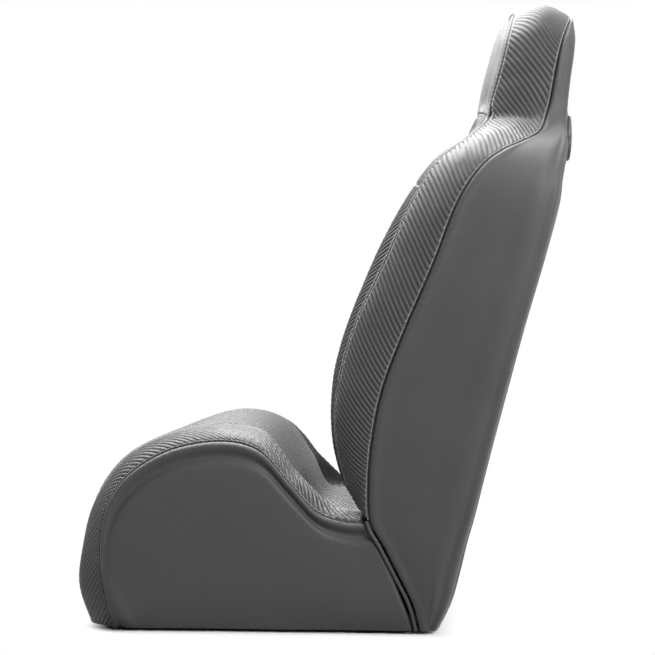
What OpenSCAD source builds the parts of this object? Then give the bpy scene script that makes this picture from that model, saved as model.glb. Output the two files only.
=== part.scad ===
// Fixed-back off-road racing seat: a welded tube frame with stretched webbing,
// foam pads on it, and a sewn vinyl cover with two shoulder-harness slots.
// The occupant faces -Y, and +X is the occupant's left.
// The origin is the centre of the four floor bolts, on the underside of the mounting tabs.

/* [Overall size] */
// Width across the back at its widest
seat_width = 532; // [500:1:580]
// Depth from the front of the cushion to the back of the headrest
seat_depth = 766; // [740:1:840]
// Height from the floor to the top of the headrest
seat_height = 958; // [920:1:1040]

/* [Frame] */
// Outside diameter of the main tubes
tube_d = 25.4; // [22:0.1:27]
// Wall of the main tubes
tube_wall = 2.1; // [1.5:0.1:3]
// Outside diameter of the light tubes: bolster rails, risers and headrest hoop
light_d = 19; // [16:0.5:20]
// Wall of the light tubes
light_wall = 1.6; // [1.2:0.1:2.5]
// Diameter of the solid struts between each upright and its bolster rail
strut_d = 12; // [8:0.5:14]
// Centre-line radius of the corners of the base and seat hoops
bend_r = 60; // [50:1:75]
// Distance between the legs of the headrest hoop, centre to centre
headrest_legs = 116; // [100:1:118]

/* [Floor mounting] */
// Bolt spacing across the seat
bolt_dx = 370; // [350:1:374]
// Bolt spacing from front to rear
bolt_dy = 280; // [240:1:290]
// Hole in each tab and nut, for an M8 bolt
bolt_hole_d = 8.5; // [8.2:0.1:10]
// Thickness of the mounting tabs
tab_t = 5; // [4.5:0.5:8]
// Width across the flats of the weld nuts
nut_flats = 14; // [13:0.5:15]
// Height of the weld nuts
nut_h = 6.5; // [5:0.5:8]

/* [Webbing] */
// Width of an elastic strap
strap_w = 38; // [30:1:42]
// Thickness of an elastic strap
strap_t = 1.8; // [1.2:0.1:2.2]
// Distance between the straps under the cushion
seat_strap_pitch = 84; // [70:1:90]

/* [Upholstery] */
// Thickness of the vinyl with its sewn foam backing
cover_t = 2.5; // [1.5:0.1:3.5]
// Foam and cover outside the side rails
side_pad = 26; // [23:1:30]
// Foam and cover behind the uprights
rear_pad = 16; // [14:1:20]
// Diameter of the welt piping
welt_d = 6; // [4:0.5:6.4]

/* [Harness slots] */
// Length of a slot across the shoulder
slot_l = 84; // [70:1:86]
// Height of a slot
slot_h = 26; // [22:1:28]
// Wall of the vinyl sleeve through the back
sleeve_t = 1.5; // [1:0.1:2]
// Width of the bound rim around each end of a slot
rim_w = 6; // [4:0.5:7]

/* [Hidden] */
$fn = 48;
clear = 0.4;        // soft pieces to what they rest on
fit = 0.15;         // webbing to the tubes that it goes round
seam_gap = 0.007;   // between two panels at a seam, as a share of a station
joint_gap = welt_d + 2;    // room for the welt between the cushion and the back
scale_x = seat_width / 532;
scale_y = seat_depth / 766;
scale_z = seat_height / 958;

// ---- Outline of the cushion: one line of points for each seam, from the front hem to the back.
// Each line has the same twelve stations.
SEAT_END = 11;
seat_center = [[0, -278, 4], [0, -303, 62], [0, -301, 126], [0, -281, 196], [0, -236, 250],
    [0, -164, 286], [0, -72, 316], [0, -4, 301], [0, 42, 240], [0, 72, 193], [0, 114, 181],
    [0, 160, 175]];
seat_inner_seam = [[160, -272, 4], [162, -287, 62], [164, -283, 126], [166, -264, 191],
    [168, -218, 252], [170, -150, 286], [170, -74, 304], [170, -6, 292], [170, 37, 238],
    [170, 66, 187], [170, 112, 178], [170, 159, 172]];
seat_ridge = [[206, -262, 4], [206, -282, 62], [206, -275, 126], [206, -256, 190], [206, -212, 250],
    [206, -146, 286], [206, -72, 298], [206, -2, 283], [208, 48, 229], [210, 92, 188],
    [212, 126, 176], [214, 158, 170]];
seat_side_seam = [[240, -224, 4], [246, -241, 62], [247, -246, 122], [247, -237, 180],
    [247, -204, 230], [247, -142, 268], [247, -67, 282], [247, -8, 269], [247, 37, 222],
    [247, 76, 180], [247, 116, 165], [248, 156, 163]];
seat_hem = [[238, -214, 4], [246, -200, 4], [246, -180, 4], [246, -155, 4], [246, -122, 4],
    [246, -78, 4], [246, -30, 4], [246, 20, 4], [246, 70, 4], [246, 120, 4], [246, 174, 4],
    [246, 227, 4]];

// ---- Outline of the backrest: the same, in twenty-one stations from the floor to the top.
// The first four front points of each line lie on the joint with the cushion.
back_side_seam = [[246, 228, 4], [250, 218, 42], [253, 199, 81], [256, 176, 126], [257, 156, 165],
    [259, 154, 226], [261, 160, 288], [262, 175, 360], [263, 206, 442], [264, 248, 540],
    [263, 284, 632], [256, 318, 684], [241, 350, 710], [212, 380, 726], [162, 408, 746],
    [131, 420, 780], [125, 430, 828], [121, 438, 866], [106, 447, 897], [66, 458, 926],
    [0, 460, 939]];
// Points of the joint between cushion and back, at a share of the way out to the side
function joint_points(share) = [for (k = [0:3])
    [back_side_seam[k][0] * share, back_side_seam[k][1], back_side_seam[k][2]]];
back_center = concat(joint_points(0), [[0, 168, 178], [0, 172, 220], [0, 176, 292],
    [0, 184, 370], [0, 204, 448], [0, 235, 540], [0, 265, 628], [0, 282, 680], [0, 292, 710],
    [0, 303, 742], [0, 313, 772], [0, 316, 796], [0, 322, 828], [0, 332, 866], [0, 344, 906],
    [0, 359, 934], [0, 375, 946]]);
back_inner_seam = concat(joint_points(0.56), [[142, 160, 180], [140, 162, 222], [138, 166, 294],
    [138, 174, 372], [138, 195, 452], [138, 227, 545], [136, 254, 632], [130, 273, 682],
    [120, 285, 712], [104, 299, 742], [82, 311, 770], [62, 318, 794], [60, 325, 826],
    [58, 335, 864], [52, 347, 902], [36, 360, 931], [0, 375, 946]]);
back_crest = concat(joint_points(0.76), [[194, 134, 190], [194, 114, 228], [192, 102, 298],
    [192, 104, 376], [191, 126, 460], [190, 163, 552], [186, 205, 634], [178, 242, 688],
    [168, 269, 716], [146, 303, 742], [111, 316, 768], [88, 325, 792], [86, 333, 824],
    [84, 343, 861], [78, 353, 899], [54, 362, 931], [0, 372, 947]]);
back_ridge_seam = concat(joint_points(0.88), [[226, 140, 180], [227, 118, 226], [228, 104, 296],
    [228, 110, 372], [227, 135, 456], [226, 178, 548], [221, 216, 632], [212, 245, 684],
    [200, 274, 713], [174, 304, 738], [132, 328, 762], [108, 334, 788], [105, 343, 822],
    [103, 353, 858], [94, 362, 896], [62, 370, 928], [0, 375, 946]]);
boxing_middle = concat(joint_points(0.95), [[244, 148, 172], [249, 134, 225], [251, 128, 292],
    [251, 138, 366], [250, 166, 450], [249, 210, 545], [246, 249, 634], [238, 281, 690],
    [224, 312, 719], [196, 342, 741], [150, 370, 760], [126, 378, 786], [123, 386, 826],
    [120, 396, 866], [107, 407, 914], [70, 416, 946], [0, 418, 957]]);
back_corner = [[244, 243, 4], [252, 256, 42], [256, 264, 86], [258, 276, 130], [259, 288, 170],
    [260, 303, 228], [261, 319, 290], [262, 338, 362], [263, 361, 446], [263, 390, 544],
    [260, 411, 630], [250, 420, 674], [230, 429, 703], [200, 437, 728], [150, 443, 754],
    [121, 446, 786], [115, 451, 832], [110, 456, 868], [95, 461, 898], [58, 464, 918],
    [0, 465, 928]];
rear_seam = [[218, 256, 4], [222, 274, 42], [226, 286, 86], [228, 297, 130], [228, 309, 170],
    [228, 324, 228], [228, 340, 290], [228, 359, 362], [228, 382, 446], [228, 411, 544],
    [226, 433, 630], [218, 438, 668], [204, 443, 696], [180, 447, 722], [134, 450, 752],
    [99, 452, 786], [94, 457, 832], [90, 462, 868], [76, 465, 894], [46, 466, 908], [0, 467, 918]];
rear_center = [[0, 258, 4], [0, 276, 42], [0, 288, 86], [0, 299, 130], [0, 310, 170], [0, 325, 228],
    [0, 341, 290], [0, 360, 362], [0, 383, 446], [0, 412, 544], [0, 434, 630], [0, 440, 670],
    [0, 445, 698], [0, 449, 724], [0, 452, 752], [0, 454, 786], [0, 459, 832], [0, 464, 868],
    [0, 466, 892], [0, 467, 906], [0, 467, 915]];

function mix(a, b, t) = a + (b - a) * t;
function mixed(a, b, t, out) = [for (i = [0:len(a) - 1]) mix(a[i], b[i], t) + [out, 0, 0]];
function sized(line) = [for (p = line) [p[0] * scale_x, p[1] * scale_y, p[2] * scale_z]];
seat_middle = [for (i = [0:SEAT_END])
    [seat_inner_seam[i][0] * 0.52, mix(seat_center[i][1], seat_inner_seam[i][1], 0.3),
        mix(seat_center[i][2], seat_inner_seam[i][2], 0.3)]];
// The last point of a side line follows the bowed welt
function side_line(share, out) = [for (i = [0:SEAT_END])
    mix(seat_side_seam[i], seat_hem[i], share)
        + [i == 0 ? out / 4 : out, i == SEAT_END ? 24 * share * (1 - share) : 0, 0]];

// The last station of the cushion lies on the joint, and is drawn in to leave room for the welt
function to_joint(line) = [for (i = [0:SEAT_END]) line[i] - [0, i == SEAT_END ? joint_gap : 0, 0]];

// Cross lines of each body, from the middle of the front out to the side and round to the rear
seat_lines = [for (l = [seat_center, seat_middle, seat_inner_seam, seat_ridge, seat_side_seam,
    side_line(0.14, 8), side_line(0.45, 10), side_line(0.8, 8), seat_hem]) to_joint(sized(l))];
back_lines = [for (l = [back_center, back_inner_seam, back_crest, back_ridge_seam, boxing_middle,
    back_side_seam, mixed(back_side_seam, back_corner, 0.25, 2),
    mixed(back_side_seam, back_corner, 0.65, 3), back_corner, rear_seam, rear_center]) sized(l)];
// Places of the seams among the cross lines
SEAT_INNER = 2;
SEAT_SIDE = 4;
SEAT_HEM = 8;
BACK_INNER = 1;
BACK_RIDGE = 3;
BACK_SIDE = 5;
BACK_REAR = 9;
BACK_MID = 10;
// Stations where panels begin and end
FRONT_TOP = 3;
BACK_FOOT = 4;
YOKE_FOOT = 10.5;
HEADREST_FOOT = 14.5;
BACK_TOP = 19.96;
// All pieces of a body share these rows and columns, so that cover and foam lie parallel
seat_rows = [0, 1, 2, 3, 3.5, 4, 4.5, 5, 6, 7, 7.5, 8, 8.5, 9, 10, 11];
seat_columns = [0, 1, 2, 2.5, 3, 3.5, 4, 5, 6, 7, 8];
back_rows = [0, 1, 2, 3, 4, 5, 6, 7, 8, 9, 10, 10.5, 11, 11.5, 12, 12.5, 13, 13.5, 14, 14.5, 15,
    16, 17, 18, 18.5, 19, 19.5, BACK_TOP];
back_columns = [0, 1, 2, 2.5, 3, 4, 4.5, 5, 6, 7, 8, 9, 10];

// ---- Smooth surface through the lines
function curve(a, b, c, d, t) = 0.5 * (2 * b + (c - a) * t + (2 * a - 5 * b + 4 * c - d) * t * t
    + (3 * b - a - 3 * c + d) * t * t * t);
function on_line(line, s) = let (n = len(line) - 1, i = min(floor(s), n - 1))
    curve(line[max(i - 1, 0)], line[i], line[i + 1], line[min(i + 2, n)], s - i);
function flip(p) = [-p[0], p[1], p[2]];
function closed(lines) = len(lines) == len(back_lines);
function surface_at(lines, s, v) =
    let (n = len(lines) - 1, w = v < 0 ? -v : v > n ? 2 * n - v : v,
        i = min(floor(w), n - 1), b = on_line(lines[i], s), c = on_line(lines[i + 1], s),
        a = i == 0 ? flip(c) : on_line(lines[i - 1], s),
        d = i < n - 1 ? on_line(lines[i + 2], s) : closed(lines) ? flip(b) : c,
        p = curve(a, b, c, d, w - i))
    v < 0 || v > n ? flip(p) : p;
step = 0.02;
function normal_at(lines, s, v) =
    let (top = len(lines[0]) - 1, n = len(lines) - 1, last = closed(lines) ? 2 * n : n,
        ds = surface_at(lines, min(s + step, top), v) - surface_at(lines, max(s - step, 0), v),
        dv = surface_at(lines, s, min(v + step, last)) - surface_at(lines, s, max(v - step, -last)))
    cross(dv, ds) / norm(cross(dv, ds));
function raised(lines, s, v, out) = surface_at(lines, s, v) + normal_at(lines, s, v) * out;
function grid(lines, rows, columns, out) = [for (s = rows) [for (v = columns)
    raised(lines, s, v, out)]];
// Rows or columns from a to b, with the ends drawn in by the seam gap
function span(list, a, b) = [for (k = list) if (k >= a && k <= b)
    k == a ? k + seam_gap : k == b ? k - seam_gap : k];
function whole(columns) = concat([for (k = [len(columns) - 1:-1:1]) -columns[k]], columns);

// The two triangles of a cell, with the diagonal turned on the occupant's right
function cell(a, b, c, d, v) = v < 0 || v > BACK_MID - 0.1
    ? [[a, d, b], [b, d, c]] : [[a, d, c], [a, c, b]];
function reversed(faces, shift) = [for (f = faces) [f[2] + shift, f[1] + shift, f[0] + shift]];
// Closed solid between an outer and an inner grid of the same size
module slab(outer, inner, columns) {
    ns = len(outer) - 1;
    nv = len(outer[0]) - 1;
    w = nv + 1;
    half = (ns + 1) * w;
    skins = [for (i = [0:ns - 1]) for (j = [0:nv - 1])
        let (a = i * w + j, f = cell(a, a + 1, a + w + 1, a + w, columns[j]))
        each concat(f, reversed(f, half))];
    ends = [for (j = [0:nv - 1]) let (b = j + 1, d = ns * w + j, c = d + 1)
        each [[j, b, b + half], [j, b + half, j + half], [c, d, d + half], [c, d + half, c + half]]];
    sides = [for (i = [0:ns - 1]) let (a = i * w, d = a + w, b = a + nv, c = b + w)
        each [[d, a, a + half], [d, a + half, d + half], [b, c, c + half], [b, c + half, b + half]]];
    polyhedron([for (g = [outer, inner]) for (row = g) for (p = row) p],
        concat(skins, ends, sides));
}
// Sewn panel of the cover
module panel(lines, rows, columns)
    slab(grid(lines, rows, columns, 0), grid(lines, rows, columns, -cover_t), columns);
module seat_panel(s0, s1, v0, v1) color([0.15, 0.15, 0.16])
    panel(seat_lines, span(seat_rows, s0, s1), span(whole(seat_columns), v0, v1));
module back_panel(s0, s1, v0, v1) color([0.15, 0.15, 0.16])
    panel(back_lines, span(back_rows, s0, s1), span(whole(back_columns), v0, v1));
// Solid inside the cover. Each row is a ring, and the two end rows are closed
module core(lines, rows, columns) {
    rings = grid(lines, rows, columns, -cover_t - clear);
    m = len(columns);
    h = floor(m / 2);
    ns = len(rows) - 1;
    skins = [for (i = [0:ns - 1]) for (j = [0:m - 1])
        let (k = (j + 1) % m, a = i * m + j, b = i * m + k)
        each cell(a, b, b + m, a + m, columns[j])];
    caps = [for (i = [0, ns]) for (k = [0:h - 1])
        let (a = i * m + h + k, b = i * m + (h + k + 1) % m, c = i * m + h - k - 1, d = i * m + h - k,
            f = k == 0 ? [[a, b, c]] : b == c ? [[a, b, d]] : [[a, b, c], [a, c, d]])
        each (i == 0 ? f : [for (t = f) [t[2], t[1], t[0]]])];
    polyhedron([for (row = rings) for (p = row) p], concat(skins, caps));
}
module seat_core() core(seat_lines, seat_rows, whole(seat_columns));
module back_core() core(back_lines, back_rows,
    [for (v = whole(back_columns)) if (v < BACK_MID) v]);
module both_sides() {
    children();
    mirror([1, 0, 0]) children();
}
// Keeps what lies between two X planes
module between_x(x0, x1) intersection() {
    children();
    translate([x0, -800, -200]) cube([x1 - x0, 1800, 1600]);
}

// ---- Places of the frame, worked out from the outlines
big = 1200;
tube_r = tube_d / 2;
light_r = light_d / 2;
wrap = fit + strap_t;                  // how far a strap stands off its tube
rail_x = 251 * scale_x - side_pad - tube_r;
rail_z = tab_t + tube_r;
front_y = -205 * scale_y;              // centres of the two front cross tubes
seat_bar_z = 212 * scale_z;
recline = atan2(0.264 * scale_y, scale_z);
foot_y = 265.4 * scale_y;              // where the plane of the rear cover meets the floor
upright_n = -rear_pad - tube_r;
bolster_n = upright_n - 130;
bolster_foot_t = 200 * scale_z;
bolster_pitch = 120 * scale_z;
bolster_bend_r = 45;
hoop_top_t = 675 * scale_z;
hoop_bend_r = 80;
lumbar_t = 262 * scale_z;
seat_rear_z = 112 * scale_z;
seat_rear_y = upright_y(seat_rear_z);
seat_slope = atan2(seat_bar_z - seat_rear_z, seat_rear_y - front_y);
seat_length = norm([seat_rear_y - front_y, seat_bar_z - seat_rear_z]);
hoop_top_z = hoop_top_t * cos(recline) - upright_n * sin(recline);
headrest_y = upright_y(hoop_top_z);
headrest_top_z = 892 * scale_z;
headrest_bend_r = 38;
rear_cross_y = 165 * scale_y;
riser_y = -128 * scale_y;
rail_end_y = upright_y(rail_z) + 0.7 * tube_r;
keep_x = rail_x + tube_r + wrap + clear;   // everything of the frame lies inside this
keep_rear = upright_n + tube_r + wrap + clear;
keep_front = upright_n - tube_r - wrap - clear;
front_face = front_y - tube_r - clear;
foam_top_t = 640 * scale_z;
headrest_split = 776 * scale_z;
pan_z = 175 * scale_z;
function upright_y(z) = foot_y + upright_n / cos(recline) + z * tan(recline);

// ---- Tube parts
module ring(r, wall) difference() {
    circle(r);
    circle(r - wall);
}
module tube(length, r, wall) linear_extrude(length) ring(r, wall);
// Bend in the XY plane that leaves the origin along +Y and turns towards -X
module turn(radius, r, wall) translate([-radius, 0, 0])
    rotate_extrude(angle = 90, $fn = 64) translate([radius, 0]) ring(r, wall);
// Inverted U in the XY plane: legs at +x and -x that start at y = 0, top at y = height
module hoop(x, height, radius, r, wall) {
    both_sides() {
        translate([x, height - radius, 0]) rotate([90, 0, 0]) tube(height - radius, r, wall);
        translate([x, height - radius, 0]) turn(radius, r, wall);
    }
    translate([radius - x, height, 0]) rotate([0, 90, 0]) tube(2 * (x - radius), r, wall);
}
// Strap in the XZ plane, wrapped over two tubes that stand `x` from the middle, along +Y
module strap(x) translate([0, strap_w / 2, 0]) rotate([90, 0, 0]) linear_extrude(strap_w) {
    inner = tube_r + fit;
    translate([-x, inner]) square([2 * x, strap_t]);
    for (side = [-1, 1]) {
        intersection() {
            translate([side * x, 0]) ring(inner + strap_t, strap_t);
            translate([side > 0 ? x : -x - 100, -50]) square([100, 100]);
        }
        translate([side > 0 ? x - 24 : -x, -inner - strap_t]) square([24, strap_t]);
    }
}
// From the plane of the seat hoop: +Y runs to the rear along the rails, +Z is up from them
module seat_plane() translate([0, front_y, seat_bar_z]) rotate([-seat_slope, 0, 0]) children();
// From the plane of the rear cover: +Y points to the rear, +Z runs up the back
module back_plane() translate([0, foot_y, 0]) rotate([-recline, 0, 0]) children();
module rail(extra) translate([rail_x, front_y, rail_z]) rotate([-90, 0, 0])
    cylinder(r = tube_r + extra, h = 600);
module upright(extra) back_plane() translate([rail_x, upright_n, -60])
    cylinder(r = tube_r + extra, h = 700);
module top_bar(extra) back_plane() translate([-300, upright_n, hoop_top_t]) rotate([0, 90, 0])
    cylinder(r = tube_r + extra, h = 600);

// Lower hoop on the floor tabs, open at the rear
module base_hoop() color([0.09, 0.09, 0.1])
    translate([0, rail_end_y, rail_z]) rotate([0, 0, 180])
        hoop(rail_x, rail_end_y - front_y, bend_r, tube_r, tube_wall);
// Uprights, coped onto the floor rails, and the bar that the shoulder belts rest on
module main_hoop() color([0.09, 0.09, 0.1]) difference() {
    back_plane() translate([0, upright_n, 0]) rotate([90, 0, 0])
        hoop(rail_x, hoop_top_t, hoop_bend_r, tube_r, tube_wall);
    both_sides() rail(0);
    translate([-300, 0, -100]) cube([600, 400, 100 + rail_z]);
}
// Upper hoop under the cushion, coped onto the uprights
module seat_hoop() color([0.09, 0.09, 0.1]) difference() {
    seat_plane() translate([0, seat_length, 0]) rotate([0, 0, 180])
        hoop(rail_x, seat_length, bend_r, tube_r, tube_wall);
    both_sides() upright(0);
}
module seat_risers() color([0.09, 0.09, 0.1]) both_sides() difference() {
    translate([rail_x, riser_y, rail_z]) tube(seat_bar_z - rail_z, light_r, light_wall);
    rail(0);
    seat_plane() translate([rail_x, 0, 0]) rotate([-90, 0, 0]) cylinder(r = tube_r, h = 400);
    seat_plane() translate([0, 0, 0]) cube([300, 300, 200]);
}
module rear_cross_tube() color([0.09, 0.09, 0.1]) difference() {
    translate([-rail_x, rear_cross_y, rail_z]) rotate([0, 90, 0])
        tube(2 * rail_x, light_r, light_wall);
    both_sides() rail(0);
}
module lumbar_cross_tube() color([0.09, 0.09, 0.1]) difference() {
    back_plane() translate([-rail_x, upright_n, lumbar_t]) rotate([0, 90, 0])
        tube(2 * rail_x, light_r, light_wall);
    both_sides() upright(0);
}
module headrest_hoop() color([0.09, 0.09, 0.1]) difference() {
    translate([0, headrest_y, hoop_top_z]) rotate([90, 0, 0])
        hoop(headrest_legs / 2, headrest_top_z - hoop_top_z, headrest_bend_r, light_r, light_wall);
    top_bar(0);
}
// C-shaped rail that holds the front of a back bolster, coped onto its upright
module bolster_rail() color([0.09, 0.09, 0.1]) difference() {
    back_plane() translate([rail_x, upright_n, bolster_foot_t + 1.5 * bolster_pitch])
        rotate([0, -90, 180])
            hoop(1.5 * bolster_pitch, upright_n - bolster_n, bolster_bend_r, light_r, light_wall);
    upright(0);
}
module bolster_struts() color([0.12, 0.12, 0.13]) both_sides() difference() {
    for (k = [1, 2]) back_plane()
        translate([rail_x, upright_n, bolster_foot_t + k * bolster_pitch]) rotate([90, 0, 0])
            cylinder(d = strut_d, h = upright_n - bolster_n);
    upright(0);
    back_plane() translate([rail_x, bolster_n, 0]) cylinder(r = light_r, h = 800);
}
module at_bolts() for (x = [-1, 1]) for (y = [-1, 1])
    translate([x * bolt_dx / 2, y * bolt_dy / 2, 0]) children();
module mounting_tabs() color([0.09, 0.09, 0.1]) difference() {
    for (x = [-1, 1]) for (y = [-1, 1]) translate([0, y * bolt_dy / 2, 0])
        translate([x > 0 ? bolt_dx / 2 - 16 : -rail_x - 4, -20, 0])
            cube([rail_x + 4 - bolt_dx / 2 + 16, 40, tab_t]);
    at_bolts() translate([0, 0, -1]) cylinder(d = bolt_hole_d, h = tab_t + 2);
}
module weld_nuts() color([0.75, 0.72, 0.55]) at_bolts() translate([0, 0, tab_t]) difference() {
    rotate([0, 0, 30]) cylinder(d = nut_flats / cos(30), h = nut_h, $fn = 6);
    translate([0, 0, -1]) cylinder(d = bolt_hole_d, h = nut_h + 2);
}

// ---- Webbing
module seat_webbing() color([0.2, 0.2, 0.2]) seat_plane() for (k = [0:3])
    translate([0, 120 * scale_y + k * seat_strap_pitch, 0]) strap(rail_x);
module back_webbing() color([0.2, 0.2, 0.2]) back_plane() translate([0, upright_n, 0])
    for (k = [0:2]) for (share = [0.3, 0.7])
        translate([0, 0, bolster_foot_t + (k + share) * bolster_pitch]) rotate([90, 0, 0])
            strap(rail_x);

// ---- Foams. What the frame needs is left free by plane cuts
module seat_keepout(x) seat_plane() translate([-x, -300, -600])
    cube([2 * x, 1200, 600 + tube_r + wrap + clear]);
module behind(y) translate([-big / 2, y, -200]) cube([big, big, 2 * big]);
module thigh_roll_foam() color([0.85, 0.8, 0.6]) resize([0, 0, 0]) difference() {
    seat_core();
    behind(front_face);
}
module seat_cushion_foam() color([0.85, 0.8, 0.6]) resize([0, 0, 0]) difference() {
    intersection() {
        between_x(-168 * scale_x, 168 * scale_x) seat_core();
        behind(front_face + clear);
    }
    seat_keepout(big / 2);
}
module seat_bolster_foam() color([0.85, 0.8, 0.6]) resize([0, 0, 0]) difference() {
    intersection() {
        between_x(168 * scale_x + clear, 400) seat_core();
        behind(front_face + clear);
    }
    seat_keepout(keep_x);
}
// Block in the back plane, across the whole width
module block(x0, x1, n0, n1, t0, t1) back_plane() translate([x0, n0, t0])
    cube([x1 - x0, n1 - n0, t1 - t0]);
module above(z) translate([-big / 2, -big / 2, z]) cube([big, 2 * big, big]);
module back_cushion_foam() color([0.85, 0.8, 0.6]) resize([0, 0, 0]) intersection() {
    between_x(-136 * scale_x, 136 * scale_x) back_core();
    block(-300, 300, -600, keep_front, -200, foam_top_t);
    above(pan_z);
}
module back_bolster_foam() color([0.85, 0.8, 0.6]) resize([0, 0, 0]) difference() {
    between_x(136 * scale_x + clear, 400) back_core();
    block(-10, keep_x, keep_front, 100, -200, big);
    block(-10, 400, -600, 300, foam_top_t, big);
    block(rail_x - light_r - clear, rail_x + light_r + clear, bolster_n - light_r - clear,
        0, bolster_foot_t - light_r - clear, bolster_foot_t + 3 * bolster_pitch + light_r + clear);
    translate([-10, -400, -200]) cube([10 + keep_x, big, 200 + pan_z]);
}
module rear_pad_foam() color([0.85, 0.8, 0.6]) resize([0, 0, 0]) intersection() {
    between_x(clear - keep_x, keep_x - clear) back_core();
    block(-300, 300, keep_rear, 100, -200, hoop_top_t + tube_r + clear);
}
module shoulder_keepout() {
    block(-keep_x, keep_x, keep_front, keep_rear, -200, hoop_top_t + tube_r + clear);
    both_sides() translate([headrest_legs / 2 - light_r - clear, headrest_y - light_r - clear, 0])
        cube([2 * (light_r + clear), 2 * (light_r + clear), big]);
    both_sides() slot_bore(rim_w + clear + sleeve_t);
}
module shoulder_foam(rear) color([0.85, 0.8, 0.6]) resize([0, 0, 0]) difference() {
    intersection() {
        back_core();
        translate([-big / 2, rear ? headrest_y + clear : headrest_y - big, 0])
            cube([big, big, headrest_split - clear]);
        block(-400, 400, -600, 300, rear ? hoop_top_t + tube_r + 2 * clear : foam_top_t + clear, big);
    }
    shoulder_keepout();
}
module headrest_foam(rear) color([0.85, 0.8, 0.6]) resize([0, 0, 0]) difference() {
    intersection() {
        back_core();
        translate([-big / 2, rear ? headrest_y + clear : headrest_y - big, headrest_split])
            cube([big, big, big]);
    }
    translate([0, headrest_y, 0]) difference() {
        headrest_block(light_r + clear);
        headrest_block(-light_r - clear);
    }
}
module headrest_block(extra) rotate([90, 0, 0])
    linear_extrude(2 * (light_r + clear), center = true) hull() {
        for (side = [-1, 1])
            translate([side * (headrest_legs / 2 - headrest_bend_r), headrest_top_z - headrest_bend_r])
                circle(headrest_bend_r + extra, $fn = 32);
        translate([-headrest_legs / 2 - extra, 0]) square([headrest_legs + 2 * extra, 10]);
    }

// ---- Harness slots: the axis rises to the rear, and the slot slopes down along the shoulder
slot_x = 112 * scale_x;
slot_front = [slot_x, 279 * scale_y, 703 * scale_z];
slot_rise = atan2(36 * scale_z, 173 * scale_y);
slot_fall = 30;
module slot_shape(extra) {
    r = slot_h / 2 + extra;
    reach = (slot_l - slot_h) / 2;
    for (side = [-1, 1]) translate([side * reach, 0]) circle(r);
    translate([-reach, -r]) square([2 * reach, 2 * r]);
}
// Along the axis from `a` in front of the front opening to `b` behind it
module slot_run(a, b) translate(slot_front) rotate([slot_rise - 90, 0, 0]) rotate([0, 0, slot_fall])
    translate([0, 0, a]) linear_extrude(b - a) children();
module slot_bore(extra) slot_run(-120, 400) slot_shape(extra, $fn = 16);
module front_cut(out) translate(slot_front) rotate([-30, 0, -17])
    translate([-200, -300 - out, -200]) cube([400, 300, 400]);
module rear_cut(out) translate([-10, 450 * scale_y, 738 * scale_z]) rotate([-6, 0, 0])
    translate([0, out, -300]) cube([400, 300, 600]);
module harness_sleeve() color([0.1, 0.1, 0.11]) difference() {
    slot_run(-60, 300) difference() {
        slot_shape(sleeve_t);
        slot_shape(0);
    }
    front_cut(6);
    rear_cut(4);
}
module rim(a, b) slot_run(a, b) difference() {
    slot_shape(sleeve_t + rim_w);
    slot_shape(sleeve_t + clear / 2);
}
module harness_rims_front() color([0.1, 0.1, 0.11]) both_sides() difference() {
    rim(-60, 24);
    front_cut(8);
}
module harness_rims_rear() color([0.1, 0.1, 0.11]) both_sides() difference() {
    rim(150, 300);
    rear_cut(5);
}

// ---- Cover panels
module shoulder_yoke() color([0.15, 0.15, 0.16]) resize([0, 0, 0]) difference() {
    back_panel(YOKE_FOOT, HEADREST_FOOT, -BACK_RIDGE, BACK_RIDGE);
    intersection() {
        both_sides() slot_bore(sleeve_t + rim_w + clear);
        translate([-big / 2, -big + 360 * scale_y, 0]) cube([big, big, big]);
    }
}
module back_rear_panel() color([0.15, 0.15, 0.16]) resize([0, 0, 0]) difference() {
    panel(back_lines, back_rows, [BACK_REAR + seam_gap, BACK_MID, 2 * BACK_MID - BACK_REAR - seam_gap]);
    intersection() {
        both_sides() slot_bore(sleeve_t + rim_w + clear);
        translate([-big / 2, 400 * scale_y, 0]) cube([big, big, big]);
    }
}
// Piping in the joint between the cushion and the back
welt_path = [for (k = [0:0.5:4]) sized([on_line(back_side_seam, k)])[0]
    + [0.5, -joint_gap / 2, k == 0 ? 1 : 0]];
module welt() color([0.1, 0.1, 0.11]) {
    n = 8;
    last = len(welt_path) - 1;
    points = [for (k = [0:last]) for (a = [0:n - 1])
        let (d = welt_path[min(k + 1, last)] - welt_path[max(k - 1, 0)],
            side = cross([1, 0, 0], d) / norm(cross([1, 0, 0], d)))
        welt_path[k] + [cos(a * 360 / n), 0, 0] * welt_d / 2 + side * sin(a * 360 / n) * welt_d / 2];
    walls = [for (k = [0:last - 1]) for (a = [0:n - 1])
        let (p = k * n + a, q = k * n + (a + 1) % n) each [[p, p + n, q + n], [p, q + n, q]]];
    caps = [for (a = [1:n - 2]) each [[0, a, a + 1], [last * n, last * n + a + 1, last * n + a]]];
    polyhedron(points, concat(walls, caps));
}
module dust_cloth() color([0.08, 0.08, 0.08]) translate([0, 0, tab_t - 1.2 - clear])
    linear_extrude(1.2) difference() {
        translate([-rail_x - tube_r + 1, front_y]) square([2 * (rail_x + tube_r - 1),
            foot_y - rear_pad + 1 - front_y]);
        for (x = [-1, 1]) for (y = [-1, 1]) translate([x * rail_x, y * bolt_dy / 2])
            square([2 * (rail_x - bolt_dx / 2 + 17), 42], center = true);
    }

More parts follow.
